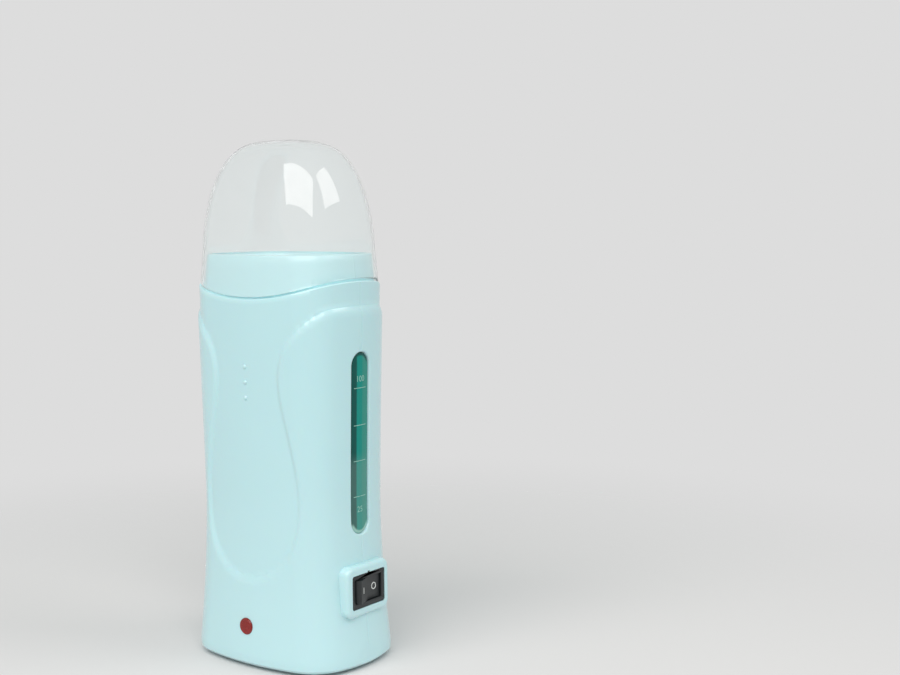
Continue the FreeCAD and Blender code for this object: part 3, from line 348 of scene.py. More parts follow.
def plan_arcs():
    """The quarter plan of half width 1, as arcs: first and last turn, centre and radius."""
    far = Vector((0, 1 / PLAN_RATIO - FRONT_ARC))
    side = Vector((1 - SIDE_ARC, 0))
    across = side - far
    reach_far = FRONT_ARC - CORNER_ARC
    reach_side = SIDE_ARC - CORNER_ARC
    along = (reach_far**2 - reach_side**2 + across.length**2) / (2 * across.length)
    forward = across.normalized()
    corner = far + forward * along + Vector((forward.y, -forward.x)) * math.sqrt(reach_far**2 - along**2)
    side_turn = math.atan2(corner.y - side.y, corner.x - side.x)
    front_turn = math.atan2(corner.y - far.y, corner.x - far.x)
    return [
        (0.0, side_turn, side, SIDE_ARC),
        (side_turn, front_turn, corner, CORNER_ARC),
        (front_turn, math.pi / 2, far, FRONT_ARC),
    ]


def plan_point(run):
    """Point and outward normal on the quarter plan, run along it from the side."""
    for first, last, centre, radius in plan_arcs():
        reach = (last - first) * radius
        if run <= reach or last == math.pi / 2:
            turn = min(first + run / radius, last)
            normal = Vector((math.cos(turn), math.sin(turn)))
            return centre + normal * radius, normal
        run -= reach


def plan_ring(spacing, near_side=()):
    """The whole plan as (x, y, normal x, normal y, run from the parting plane), round from +X."""
    total = sum((last - first) * radius for first, last, _, radius in plan_arcs())
    start = max(near_side, default=0.0)
    count = max(2, round((total - start) / spacing))
    runs = [0.0, *near_side] + [start + (total - start) * i / count for i in range(1, count + 1)]
    runs = sorted(set(runs))
    quarter = [(*plan_point(run)[0], *plan_point(run)[1], run) for run in runs]
    ring = list(quarter)
    ring += [(-x, y, -nx, ny, run) for x, y, nx, ny, run in reversed(quarter[:-1])]
    ring += [(-x, -y, -nx, -ny, run) for x, y, nx, ny, run in quarter[1:]]
    ring += [(x, -y, nx, -ny, run) for x, y, nx, ny, run in reversed(quarter[1:-1])]
    return ring


def side_surface(y, z, inset):
    """X of the body's side at (y, z), inset below the grip skin; good near the parting plane."""
    half_width = body_half_width(z)
    radius = SIDE_ARC * half_width - inset
    return half_width * (1 - SIDE_ARC) + math.sqrt(radius**2 - y**2)


def panel_outline():
    """Samples (x, z) and directions along the right half of the front panel's edge."""
    points = PANEL_BOWL + [(x, SEAM_LOW - drop) for x, drop in PANEL_NECK]
    points = np.array(points + [(body_half_width(PANEL_TOP), PANEL_TOP)])
    runs = np.concatenate([[0], np.cumsum(np.linalg.norm(np.diff(points, axis=0), axis=1))])
    size = len(points)
    matrix = np.zeros((size, size))
    right = np.zeros((size, 2))
    matrix[0, 0] = matrix[-1, -1] = 1
    right[0] = right[-1] = (1, 0)
    for i in range(1, size - 1):
        before, after = runs[i] - runs[i - 1], runs[i + 1] - runs[i]
        matrix[i, i - 1 : i + 2] = 1 / before, 2 / before + 2 / after, 1 / after
        right[i] = 3 * ((points[i] - points[i - 1]) / before**2 + (points[i + 1] - points[i]) / after**2)
    slopes = np.linalg.solve(matrix, right)
    samples = []
    for i in range(size - 1):
        span = runs[i + 1] - runs[i]
        for s in np.linspace(0, 1, PANEL_SAMPLES, endpoint=False):
            start, end = points[i], points[i + 1]
            pull, push = slopes[i] * span, slopes[i + 1] * span
            place = (2 * s**3 - 3 * s**2 + 1) * start + (s**3 - 2 * s**2 + s) * pull
            place = place + (3 * s**2 - 2 * s**3) * end + (s**3 - s**2) * push
            samples.append(place)
    samples += [np.array((x, PANEL_TOP)) for x in np.arange(points[-1][0], PANEL_REACH, PANEL_PITCH)]
    return [Vector((x, z, 0)) for x, z in samples]


class PanelEdge:
    """Signed distance from the front panel's edge, positive on the grip skin."""

    def __init__(self):
        self.samples = panel_outline()
        self.tree = KDTree(len(self.samples))
        for index, sample in enumerate(self.samples):
            self.tree.insert(sample, index)
        self.tree.balance()

    def distance(self, x, z):
        place = Vector((abs(x), z, 0))
        nearest, index, away = self.tree.find(place)
        ahead = self.samples[min(index + 1, len(self.samples) - 1)]
        behind = self.samples[max(index - 1, 0)]
        direction = ahead - behind
        across = direction.x * (place.y - nearest.y) - direction.y * (place.x - nearest.x)
        return -away if across > 0 else away


def soft_fall(share):
    """1 at the foot of a moulded step, 0 at its top, rounded at both."""
    share = min(max(share, 0.0), 1.0)
    return 1 - share * share * (3 - 2 * share)


# ---------------------------------------- materials
DRIFT_SIZE = 25.0  # millimetres over which a colour drifts
GRAIN_DEPTH = 0.02  # millimetres
POLISH_DRIFT = 0.1  # share by which the grain changes the roughness
FLOOR_FADE = (0.1, 0.42)  # metres from the heater over which the floor fades out


def add_node(tree, kind, settings=None, links=None):
    """Adds a node, sets its own properties and sockets by name or number, and links its inputs."""
    node = tree.nodes.new(kind)
    for name, value in (settings or {}).items():
        if isinstance(name, str) and name[0].islower():
            setattr(node, name, value)
        else:
            node.inputs[name].default_value = value
    for name, source in (links or {}).items():
        tree.links.new(source, node.inputs[name])
    return node


def new_material(name):
    """Makes a material with no nodes yet, and gives its node tree."""
    material = bpy.data.materials.new(name)
    material.use_nodes = True
    material.node_tree.nodes.clear()
    return material.node_tree


def rgba(values):
    return (*values, 1.0)


def grained(name, base, roughness, grain, bump, variation=0.02, **settings):
    """An opaque finish: even colour with a slight drift, and a fine grain of a size in millimetres."""
    tree = new_material(name)
    place = add_node(tree, "ShaderNodeTexCoord").outputs["Object"]
    drift, fine = [
        add_node(
            tree,
            "ShaderNodeTexNoise",
            {"Scale": 1 / (size * MM), "Detail": detail, "Roughness": fall},
            {"Vector": place},
        ).outputs["Fac"]
        for size, detail, fall in ((DRIFT_SIZE, 2.0, 0.5), (grain, 3.0, 0.6))
    ]
    darker = [value * (1 - variation) for value in base]
    lighter = [min(1.0, value * (1 + variation)) for value in base]
    tint = add_node(
        tree, "ShaderNodeMix", {"data_type": "RGBA", 6: rgba(darker), 7: rgba(lighter)}, {0: drift}
    )
    rough = add_node(
        tree,
        "ShaderNodeMapRange",
        {"To Min": roughness * (1 - POLISH_DRIFT), "To Max": roughness * (1 + POLISH_DRIFT)},
        {"Value": fine},
    )
    surface = add_node(
        tree, "ShaderNodeBump", {"Strength": bump, "Distance": GRAIN_DEPTH * MM}, {"Height": fine}
    )
    shader = add_node(
        tree,
        "ShaderNodeBsdfPrincipled",
        settings,
        {
            "Base Color": tint.outputs[2],
            "Roughness": rough.outputs["Result"],
            "Normal": surface.outputs["Normal"],
        },
    )
    add_node(tree, "ShaderNodeOutputMaterial", links={"Surface": shader.outputs["BSDF"]})


def stripe(tree, run, span, strength, before, after):
    """Turns one colour into another where run, in metres, crosses a span given in millimetres."""
    low, high = [edge * MM for edge in span]
    share = add_node(
        tree,
        "ShaderNodeMapRange",
        {"interpolation_type": "SMOOTHSTEP", "From Min": low, "From Max": high, "To Max": strength},
        {"Value": run},
    )
    return add_node(
        tree, "ShaderNodeMix", {"data_type": "RGBA", 7: rgba(after)}, {0: share.outputs["Result"], 6: before}
    ).outputs[2]


def strip_end(tree, place, height, way, before, after):
    """A crescent of painted shade at the strip's upper end, way 1, or of painted highlight at its lower end,
    way -1.
    """
    shifted = add_node(
        tree, "ShaderNodeVectorMath", {"operation": "SUBTRACT", 1: (0, 0, height * MM)}, {0: place}
    ).outputs["Vector"]
    flat = add_node(tree, "ShaderNodeVectorMath", {"operation": "MULTIPLY", 1: (0, 1, 1)}, {0: shifted})
    away = add_node(tree, "ShaderNodeVectorMath", {"operation": "LENGTH"}, {0: flat.outputs["Vector"]})
    tall = add_node(tree, "ShaderNodeSeparateXYZ", links={0: shifted})
    rim, end = [
        add_node(
            tree,
            "ShaderNodeMapRange",
            {"interpolation_type": "SMOOTHSTEP", "From Min": low * MM, "From Max": high * MM},
            {"Value": run},
        ).outputs["Result"]
        for run, (low, high) in (
            (away.outputs["Value"], STRIP_END_RIM),
            (tall.outputs["Z"], [way * level for level in STRIP_END_RISE]),
        )
    ]
    share = add_node(tree, "ShaderNodeMath", {"operation": "MULTIPLY"}, {0: rim, 1: end})
    return add_node(
        tree, "ShaderNodeMix", {"data_type": "RGBA", 7: rgba(after)}, {0: share.outputs["Value"], 6: before}
    ).outputs[2]


def strip_colour(tree, colours):
    """The colour of a window's strip: painted light on one side, painted shade on the other and at its upper
    end, milky below, a painted highlight at its lower end.
    """
    place = add_node(tree, "ShaderNodeTexCoord").outputs["Object"]
    axes = add_node(tree, "ShaderNodeSeparateXYZ", links={0: place}).outputs
    side = add_node(tree, "ShaderNodeMath", {"operation": "SIGN"}, {0: axes["X"]}).outputs["Value"]
    across = add_node(tree, "ShaderNodeMath", {"operation": "MULTIPLY"}, {0: axes["Y"], 1: side})
    across = across.outputs["Value"]
    tint = add_node(tree, "ShaderNodeCombineColor", dict(enumerate(colours.window))).outputs["Color"]
    # Painted light on one side of the strip.
    tint = stripe(tree, across, STRIP_PAINTED_LIGHT, 1.0, tint, colours.window_painted_light_side)
    # Painted shade on the other side of the strip.
    tint = stripe(tree, across, STRIP_PAINTED_SHADE, 1.0, tint, colours.window_painted_shade)
    tint = stripe(tree, axes["Z"], STRIP_MILKY, STRIP_MILKINESS, tint, colours.window_milky)
    # Painted shade: a dark crescent at the upper end, where the opening's edge shades the sunk lens.
    tint = strip_end(tree, place, WINDOW_HIGH - WINDOW_HALF_WIDTH, 1, tint, colours.window_painted_shade)
    # Painted highlight: a bright crescent at the lower end.
    return strip_end(tree, place, WINDOW_LOW + WINDOW_HALF_WIDTH, -1, tint, colours.window_painted_end_light)


def clear_moulding(name, tint, roughness, clearness, strip=None, **settings):
    """A clear plastic with a polished surface, which lets light through to what stands behind it."""
    tree = new_material(name)
    shader = add_node(
        tree,
        "ShaderNodeBsdfPrincipled",
        {"Base Color": rgba(tint), "Roughness": roughness, "Transmission Weight": clearness, **settings},
        {"Base Color": strip_colour(tree, strip)} if strip else None,
    )
    path = add_node(tree, "ShaderNodeLightPath").outputs
    rays = {0: path["Is Shadow Ray"], 1: path["Is Diffuse Ray"]}
    either = add_node(tree, "ShaderNodeMath", {"operation": "MAXIMUM"}, rays)
    let_through = add_node(
        tree, "ShaderNodeMath", {"operation": "MULTIPLY", 1: clearness}, {0: either.outputs["Value"]}
    )
    light = add_node(tree, "ShaderNodeBsdfTransparent", {"Color": rgba(tint)})
    mix = add_node(
        tree,
        "ShaderNodeMixShader",
        links={0: let_through.outputs["Value"], 1: shader.outputs["BSDF"], 2: light.outputs["BSDF"]},
    )
    add_node(tree, "ShaderNodeOutputMaterial", links={"Surface": mix.outputs["Shader"]})


def paper(name, base):
    """Matt paper that fades into the light all round, away from the heater."""
    tree = new_material(name)
    place = add_node(tree, "ShaderNodeTexCoord").outputs["Object"]
    away = add_node(tree, "ShaderNodeVectorMath", {"operation": "LENGTH"}, {0: place})
    fade = add_node(
        tree,
        "ShaderNodeMapRange",
        {"interpolation_type": "SMOOTHSTEP", "From Min": FLOOR_FADE[0], "From Max": FLOOR_FADE[1]},
        {"Value": away.outputs["Value"]},
    )
    shader = add_node(
        tree,
        "ShaderNodeBsdfPrincipled",
        {"Base Color": rgba(base), "Roughness": 0.95, "Specular IOR Level": 0.0},
    )
    beyond = add_node(tree, "ShaderNodeBsdfTransparent")
    mix = add_node(
        tree,
        "ShaderNodeMixShader",
        links={0: fade.outputs["Result"], 1: shader.outputs["BSDF"], 2: beyond.outputs["BSDF"]},
    )
    add_node(tree, "ShaderNodeOutputMaterial", links={"Surface": mix.outputs["Shader"]})


def make_materials(colours):
    """Makes all the finishes, each named for its real material; grains are in millimetres."""
    # Polypropylene shells, a fine satin grain under a slight gloss: light is carried a little inside.
    grained(
        "mint_polypropylene_satin",
        colours.mint,
        roughness=0.34,
        grain=0.35,
        bump=0.06,
        variation=0.012,
        **{
            "IOR": 1.49,
            "Subsurface Weight": 0.08,
            "Subsurface Scale": 1.5 * MM,
            "Coat Weight": 0.8,
            "Coat Roughness": 0.1,
        },
    )
    # Polystyrene dome, polished mould: clear, sharp reflections, a trace of haze and blue.
    clear_moulding("clear_polystyrene_polished", colours.cap, roughness=0.03, clearness=0.93, IOR=1.46)
    # Acrylic window, polished and dyed through: deep colour, faint reflections, with painted light and
    # painted shade in its colour.
    clear_moulding(
        "green_acrylic_polished",
        colours.window,
        roughness=0.06,
        clearness=0.3,
        strip=colours,
        **{"IOR": 1.49, "Specular IOR Level": 0.12},
    )
    # White ink screened on the window: flat and opaque, tinged by the green under it.
    grained("white_screen_ink", colours.print_ink, roughness=0.5, grain=0.1, bump=0.05)
    # Pad-printed lacquer on the rocker's raised marks: white and slightly glossy.
    grained("white_pad_print", linear("#E4E6E4"), roughness=0.35, grain=0.1, bump=0.05)
    # ABS switch and inlet, spark-eroded grain: dark with a grey sheen.
    grained("black_abs_grained", colours.black, roughness=0.38, grain=0.25, bump=0.2, IOR=1.53)
    # Drawn aluminium: bright metal, faintly uneven from the draw.
    grained("drawn_aluminium", linear("#C9CBCC"), roughness=0.35, grain=0.5, bump=0.1, Metallic=1.0)
    # Glass-filled nylon: off-white and dull.
    grained("white_nylon_filled", linear("#DCDAD0"), roughness=0.55, grain=0.3, bump=0.2)
    # Polyimide film on the heating elements: amber and glossy.
    grained(
        "amber_polyimide_film", linear("#B5651D"), roughness=0.25, grain=1.5, bump=0.1, **{"Coat Weight": 0.5}
    )
    # Spring steel bands and zinc-plated screws: grey metal, half bright.
    grained("zinc_plated_steel", linear("#B9BBBD"), roughness=0.3, grain=0.4, bump=0.1, Metallic=1.0)
    # Turned brass pins and tabs: yellow metal, brighter than the steel.
    grained("turned_brass", linear("#C8A45A"), roughness=0.28, grain=0.3, bump=0.1, Metallic=1.0)
    # Red acrylic indicator, polished: half clear, so the lamp behind it shows.
    clear_moulding("red_acrylic_polished", linear("#C4261D"), roughness=0.08, clearness=0.6, IOR=1.49)
    # Glass-epoxy board under green solder mask: nearly smooth, with a slight gloss.
    grained(
        "green_glass_epoxy", linear("#1F6B3F"), roughness=0.35, grain=0.6, bump=0.15, **{"Coat Weight": 0.3}
    )
    # Lacquered resistor body: beige and smooth.
    grained("beige_lacquer", linear("#CDB68A"), roughness=0.4, grain=0.5, bump=0.1)
    # Moulded rubber feet: matt and grey.
    grained("grey_rubber_matt", linear("#8FA3A4"), roughness=0.75, grain=0.3, bump=0.3)
    # Phenolic thermostat case: black and dull.
    grained("black_phenolic", linear("#242424"), roughness=0.5, grain=0.3, bump=0.2)
    # Painted backdrop paper, which runs out of sight softly.
    paper("pale_paper_seamless", colours.floor)


def finish(name):
    return bpy.data.materials[name]


# ---------------------------------------- the pieces
FEET = [f"foot_{number}" for number in (1, 2, 3, 4)]


class HEATER_OT_finishes(bpy.types.Operator):
    """Make all the finishes, and give each CAD part its own."""

    bl_idname = "heater.finishes"
    bl_label = "Finishes"

    def execute(self, context):
        make_materials(context.scene.heater_finish)
        carried = {
            "clear_polystyrene_polished": ["cap"],
            "mint_polypropylene_satin": ["front_shell", "back_shell", "top_ring", "base_plate"],
            "drawn_aluminium": ["heating_well", "heater_spreader_front", "heater_spreader_back"],
            "white_nylon_filled": ["well_cradle"],
            "green_acrylic_polished": ["window_right", "window_left"],
            "amber_polyimide_film": ["heater_element_front", "heater_element_back"],
            "zinc_plated_steel": ["heater_band_lower", "heater_band_upper", "base_screws", "shell_screws"],
            "black_phenolic": ["thermostat"],
            "turned_brass": ["thermal_fuse", "switch_terminals", "inlet_pins"],
            "black_abs_grained": ["switch_housing", "switch_rocker", "inlet_housing"],
            "red_acrylic_polished": ["indicator_lens", "indicator_led"],
            "green_glass_epoxy": ["control_board"],
            "beige_lacquer": ["resistor"],
            "grey_rubber_matt": FEET,
        }
        for name, nodes in carried.items():
            for node in nodes:
                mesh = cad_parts[node].data
                mesh.materials.clear()
                mesh.materials.append(finish(name))
        return {"FINISHED"}


class HEATER_OT_shells(bpy.types.Operator):
    """Model the outside of the body with soft steps, and trim both half shells with it."""

    bl_idname = "heater.shells"
    bl_label = "Shells"

    ROW_PITCH = 0.55
    NEAR_GROOVE = (0.5, 1.0, 2.0, 3.2)  # columns beside the parting line, in half widths of it
    ROLL = [math.radians(degrees) for degrees in range(0, 91, 15)]  # turns along a rounded edge
    BASE_ROUND = 2.7
    BASE_TUCK = 0.3  # the form's closing face lies this far under the base
    LEDGE_SHARES = (0.33, 0.66, 1.0)  # of the way in, under the cap's rim
    COLLAR_ROWS = 8
    RIM_ROUND = 0.7
    RIM_UNDER = 0.02
    RIM_GROOVE = 0.9  # height of the shadow groove that the cap's rim covers
    RIM_GROOVE_DEPTH = 0.9
    RIM_GROOVE_STEP = 0.1
    PAD_FRONT = 0.01  # edges nearer than this to the pad's face are its outline
    DOT_UNDER = 0.01  # a dot stays this far inside the solid's own
    # The roll over the edge of a window's opening, as (margin, inset).
    FLARE = [(0.0, 0.95), (0.06, 0.6), (0.2, 0.32), (0.42, 0.14), (0.75, 0.02), (0.95, -0.04), (1.0, -1.5)]

    def body_columns(self, sizes):
        """Columns of points up the outside of the body and its collar, in millimetres."""
        edge = PanelEdge()
        step = sizes.step_width / MM
        round_off = sizes.shoulder_round / MM
        groove_half = sizes.groove_width / MM
        groove_depth = sizes.groove_depth / MM
        near = [share * groove_half / WAIST_HALF_WIDTH for share in self.NEAR_GROOVE]
        ring = plan_ring(self.ROW_PITCH / WAIST_HALF_WIDTH, near)
        rows = round((SEAM_LOW - FOOT_HEIGHT) / self.ROW_PITCH)
        columns = []
        for ux, uy, nx, ny, run in ring:
            groove = groove_depth * max(0.0, 1 - run * WAIST_HALF_WIDTH / groove_half)

            def skin(z, extra=0.0):
                half_width = body_half_width(z)
                away = edge.distance(half_width * ux, z)
                inset = UNDER + SKIN_RAISE * soft_fall((away - UNDER) / step) + groove + extra
                return half_width * ux - inset * nx, half_width * uy - inset * ny

            def collar(z, extra=0.0):
                half_width = cap_half_width(z)
                inset = COLLAR_INSET + UNDER + groove + extra
                return half_width * ux - inset * nx, half_width * uy - inset * ny

            column = [(*skin(FOOT_HEIGHT, self.BASE_ROUND), FOOT_HEIGHT - self.BASE_TUCK)]
            for turn in self.ROLL[:-1]:
                z = FOOT_HEIGHT + self.BASE_ROUND * (1 - math.cos(turn))
                column.append((*skin(z, self.BASE_ROUND * (1 - math.sin(turn))), z))
            low = FOOT_HEIGHT + self.BASE_ROUND
            shoulder = seam_z(skin(SEAM_LOW)[0]) - SEAM_GAP
            for row in range(rows + 1):
                z = low + (shoulder - round_off - low) * row / rows
                column.append((*skin(z), z))
            for turn in self.ROLL[1:]:
                x, y = skin(shoulder, round_off * (1 - math.cos(turn)))
                column.append((x, y, seam_z(x) - SEAM_GAP - round_off * (1 - math.sin(turn))))
            outer = Vector(column[-1][:2])
            root = Vector(collar(SEAM_LOW, self.RIM_GROOVE_DEPTH))
            for share in self.LEDGE_SHARES:
                x, y = outer.lerp(root, share)
                column.append((x, y, seam_z(x) - SEAM_GAP))
            low = seam_z(root.x) - SEAM_GAP + self.RIM_GROOVE
            column.append((*root, low - self.RIM_GROOVE_STEP))
            high = COLLAR_TOP - self.RIM_UNDER - self.RIM_ROUND
            for row in range(self.COLLAR_ROWS + 1):
                z = low + (high - low) * row / self.COLLAR_ROWS
                column.append((*collar(z), z))
            for turn in self.ROLL[1:]:
                z = high + self.RIM_ROUND * math.sin(turn)
                column.append((*collar(z, self.RIM_ROUND * (1 - math.cos(turn))), z))
            columns.append(column)
        return columns

    def pad(self, sizes):
        """The switch pad as a block whose outer edge is rolled over."""
        deselect()
        bpy.ops.mesh.primitive_cube_add(size=1)
        obj = bpy.context.object
        face_x = PAD_FACE_X - UNDER / 2
        depth = face_x - WAIST_HALF_WIDTH / 2
        grow = 2 * UNDER
        obj.scale = Vector((depth, 2 * PAD_HALF_WIDTH - grow, PAD_HIGH - PAD_LOW - grow)) * MM
        obj.location = Vector((face_x - depth / 2, 0, (PAD_HIGH + PAD_LOW) / 2)) * MM
        settle(obj)
        bpy.ops.object.mode_set(mode="EDIT")
        half_depth = depth * MM / 2
        select_where(obj, "EDGE", lambda edge: abs(edge.verts[0].co.x - edge.verts[1].co.x) > half_depth)
        bpy.ops.mesh.bevel(offset=PAD_CORNER * MM, segments=10, affect="EDGES")
        bpy.ops.mesh.select_all(action="DESELECT")
        front = (face_x - self.PAD_FRONT) * MM
        select_where(obj, "EDGE", lambda edge: min(vertex.co.x for vertex in edge.verts) > front)
        bpy.ops.mesh.bevel(offset=sizes.pad_round, segments=7, affect="EDGES")
        bpy.ops.object.mode_set(mode="OBJECT")
        return obj

    def dot(self, z):
        """One raised dot of the front panel, as the ball whose cap stands out of it."""
        radius = ((DOT_DIAMETER / 2) ** 2 + DOT_HEIGHT**2) / (2 * DOT_HEIGHT) - self.DOT_UNDER
        surface_y = SKIN_RAISE - body_half_width(z) / PLAN_RATIO
        place = Vector((0, surface_y + radius - DOT_HEIGHT + self.DOT_UNDER, z)) * MM
        deselect()
        bpy.ops.mesh.primitive_uv_sphere_add(segments=32, ring_count=20, radius=radius * MM, location=place)
        return settle(bpy.context.object)

    def execute(self, context):
        sizes = context.scene.heater_sizes
        body = wrapped_tube(self.body_columns(sizes))
        combine(body, self.pad(sizes), "UNION")
        for number in range(DOT_COUNT):
            combine(body, self.dot(SEAM_LOW - DOT_DROP - DOT_PITCH * number), "UNION")
        for side in (1, -1):
            combine(body, window_solid(side, self.FLARE), "DIFFERENCE")
        for node in ("front_shell", "back_shell"):
            shell = merged_copy(node)
            trim = bpy.data.objects.new("trim", body.data.copy())
            context.scene.collection.objects.link(trim)
            combine(shell, trim, "INTERSECT")
            smooth(shell)
            dress(shell, "moulded_" + node, finish("mint_polypropylene_satin"), "housing", "mint_shell", node)
        bpy.data.objects.remove(body)
        return {"FINISHED"}


def window_ring(margin):
    """Points (y, z) round the window's outline, grown by margin."""
    radius = WINDOW_HALF_WIDTH + margin
    middle = (WINDOW_LOW + WINDOW_HIGH) / 2
    half = (WINDOW_HIGH - WINDOW_LOW) / 2 - WINDOW_HALF_WIDTH
    points = []
    for end in (1, -1):
        for step in range(WINDOW_ARC_STEPS + 1):
            turn = math.pi * step / WINDOW_ARC_STEPS + (0 if end > 0 else math.pi)
            points.append((radius * math.cos(turn), middle + end * half + radius * math.sin(turn)))
        for step in range(1, WINDOW_ARC_STEPS):
            points.append((-end * radius, middle + end * half * (1 - 2 * step / WINDOW_ARC_STEPS)))
    return points


def window_solid(side, rings):
    """A closed solid of rings round the window: (margin, inset) from its back to its face."""
    closing = WINDOW_HALF_WIDTH - WINDOW_CORE
    back = [(-closing, rings[0][1]), ((rings[0][0] - closing) / 2, rings[0][1])]
    face = [((rings[-1][0] - closing) / 2, rings[-1][1]), (-closing, rings[-1][1])]
    rows = [
        [(side * side_surface(y, z, inset), side * y, z) for y, z in window_ring(margin)]
        for margin, inset in back + rings + face
    ]
    return wrapped_tube(list(zip(*rows)))


class HEATER_OT_windows(bpy.types.Operator):
    """Model the two green windows with a crowned face, and the scale printed on them."""

    bl_idname = "heater.windows"
    bl_label = "Windows"

    SUNK = 0.75  # the edge of a window's face lies this far under the skin
    CLEARANCE = 0.06
    EDGE_TURNS = [math.radians(degrees) for degrees in (22.5, 45, 67.5, 90)]
    FACE_SHARES = (0.3, 0.6, 1.0)
    FACE_MIDDLE = 0.6  # half width of the innermost ring of the crowned face
    TICKS = (62.4, 75.3, 88.2, 101.6)
    TICK_HALF_WIDTH = 3.2
    TICK_HEIGHT = 0.26
    LABELS = (("100", 104.8), ("25", 57.6))
    LABEL_SIZE = 3.0
    INK = 0.03

    def face_inset(self, sizes, share):
        """How far the crowned face lies under the skin, share of the way from its edge to its middle."""
        return self.SUNK - sizes.window_crown / MM * (1 - (1 - share) ** 2)

    def lens(self, side, sizes):
        """One window: flange, wall, rounded edge and crowned face."""
        round_off = sizes.window_round / MM
        edge = -self.CLEARANCE
        rings = [(0.0, WINDOW_BACK), (WINDOW_FLANGE, WINDOW_BACK), (WINDOW_FLANGE, WINDOW_SEAT)]
        rings += [(edge, WINDOW_SEAT), (edge, self.SUNK + round_off)]
        for turn in self.EDGE_TURNS:
            margin = edge - round_off * (1 - math.cos(turn))
            rings.append((margin, self.SUNK + round_off * (1 - math.sin(turn))))
        for share in self.FACE_SHARES:
            margin = edge - round_off - share * (WINDOW_HALF_WIDTH - round_off - self.FACE_MIDDLE)
            rings.append((margin, self.face_inset(sizes, share)))
        return smooth(window_solid(side, rings), 50.0)

    def on_face(self, mesh, side, sizes):
        """Lays flat print drawn as (y, z) in millimetres onto the window's face."""
        for vertex in mesh.vertices:
            y, z, lift = vertex.co
            share = min(1.0, max(0.0, (WINDOW_HALF_WIDTH - abs(y)) / WINDOW_HALF_WIDTH))
            inset = self.face_inset(sizes, share) - lift * self.INK
            vertex.co = Vector((side * side_surface(y, z, inset), side * y, z)) * MM

    def print_scale(self, side, sizes):
        """Tick lines and numbers as one thin printed layer."""
        parts = []
        for z in self.TICKS:
            deselect()
            bpy.ops.mesh.primitive_cube_add(size=1)
            tick = bpy.context.object
            bpy.ops.object.mode_set(mode="EDIT")
            bpy.ops.mesh.select_all(action="SELECT")
            bpy.ops.mesh.subdivide(number_cuts=8)
            bpy.ops.object.mode_set(mode="OBJECT")
            tick.scale = (2 * self.TICK_HALF_WIDTH, self.TICK_HEIGHT, 1)
            tick.location = (0, z, 0.5)
            parts.append(settle(tick))
        for text, z in self.LABELS:
            deselect()
            bpy.ops.object.text_add()
            label = bpy.context.object
            label.data.body = text
            label.data.size = self.LABEL_SIZE
            label.data.align_x = "CENTER"
            label.data.align_y = "CENTER"
            label.data.extrude = 0.5
            label.location = (0, z, 0.5)
            take(label)
            bpy.ops.object.convert(target="MESH")
            parts.append(settle(bpy.context.object))
        for part in parts:
            self.on_face(part.data, side, sizes)
        return joined(parts)

    def execute(self, context):
        sizes = context.scene.heater_sizes
        for side, name in ((1, "right"), (-1, "left")):
            lens = self.lens(side, sizes)
            green = finish("green_acrylic_polished")
            dress(lens, "crowned_window_" + name, green, "housing", "green_window", "window_" + name)
            scale = self.print_scale(side, sizes)
            dress(scale, "window_scale_" + name, finish("white_screen_ink"), "housing", "white_nylon")
        return {"FINISHED"}


class HEATER_OT_cap(bpy.types.Operator):
    """Model the clear dome with its wavy rim."""

    bl_idname = "heater.cap"
    bl_label = "Cap"

    SPACING = 0.9
    SKIRT_ROWS = 10
    DOME_ROWS = 30
    NEAR_POLE = math.radians(89.9)
    ROW_CROWDING = 1.5  # above 1, the rows lie closer together towards the top
    LIP = 0.2  # the rim stands this far above the solid's own edge
    SHARP = math.radians(60.0)  # edges that turn by more are the rim's

    def execute(self, context):
        sizes = context.scene.heater_sizes
        ring = plan_ring(self.SPACING / CAP_SPRING_HALF_WIDTH)
        rise = CAP_TOP - CAP_SPRING_Z
        columns = []
        for ux, uy, _, _, _ in ring:
            rim = seam_z(cap_half_width(SEAM_LOW) * ux) + self.LIP
            column = []
            for row in range(self.SKIRT_ROWS):
                z = rim + (CAP_SPRING_Z - rim) * row / self.SKIRT_ROWS
                column.append((cap_half_width(z) * ux, cap_half_width(z) * uy, z))
            for row in range(self.DOME_ROWS):
                share = row / (self.DOME_ROWS - 1)
                turn = self.NEAR_POLE * (1 - (1 - share) ** self.ROW_CROWDING)
                shrink = CAP_SPRING_HALF_WIDTH * math.cos(turn) ** (2 / DOME_TOP_POWER)
                z = CAP_SPRING_Z + rise * math.sin(turn) ** (2 / DOME_SIDE_POWER)
                column.append((shrink * ux, shrink * uy, z))
            columns.append(column)
        dome = wrapped_tube(columns)
        take(dome)
        bpy.ops.object.mode_set(mode="EDIT")
        low = CAP_SPRING_Z * MM
        select_where(dome, "FACE", lambda face: len(face.verts) > 4 and face.calc_center_median().z < low)
        bpy.ops.mesh.delete(type="FACE")
        bpy.ops.object.mode_set(mode="OBJECT")
        finish_modifier(dome, "SOLIDIFY", thickness=CAP_WALL * MM, offset=-1, use_even_offset=True)
        finish_modifier(
            dome, "BEVEL", width=sizes.cap_lip_round, segments=3, limit_method="ANGLE", angle_limit=self.SHARP
        )
        smooth(dome, 50.0)
        dress(dome, "clear_dome_cap", finish("clear_polystyrene_polished"), "cap", "clear_cap", "cap")
        return {"FINISHED"}


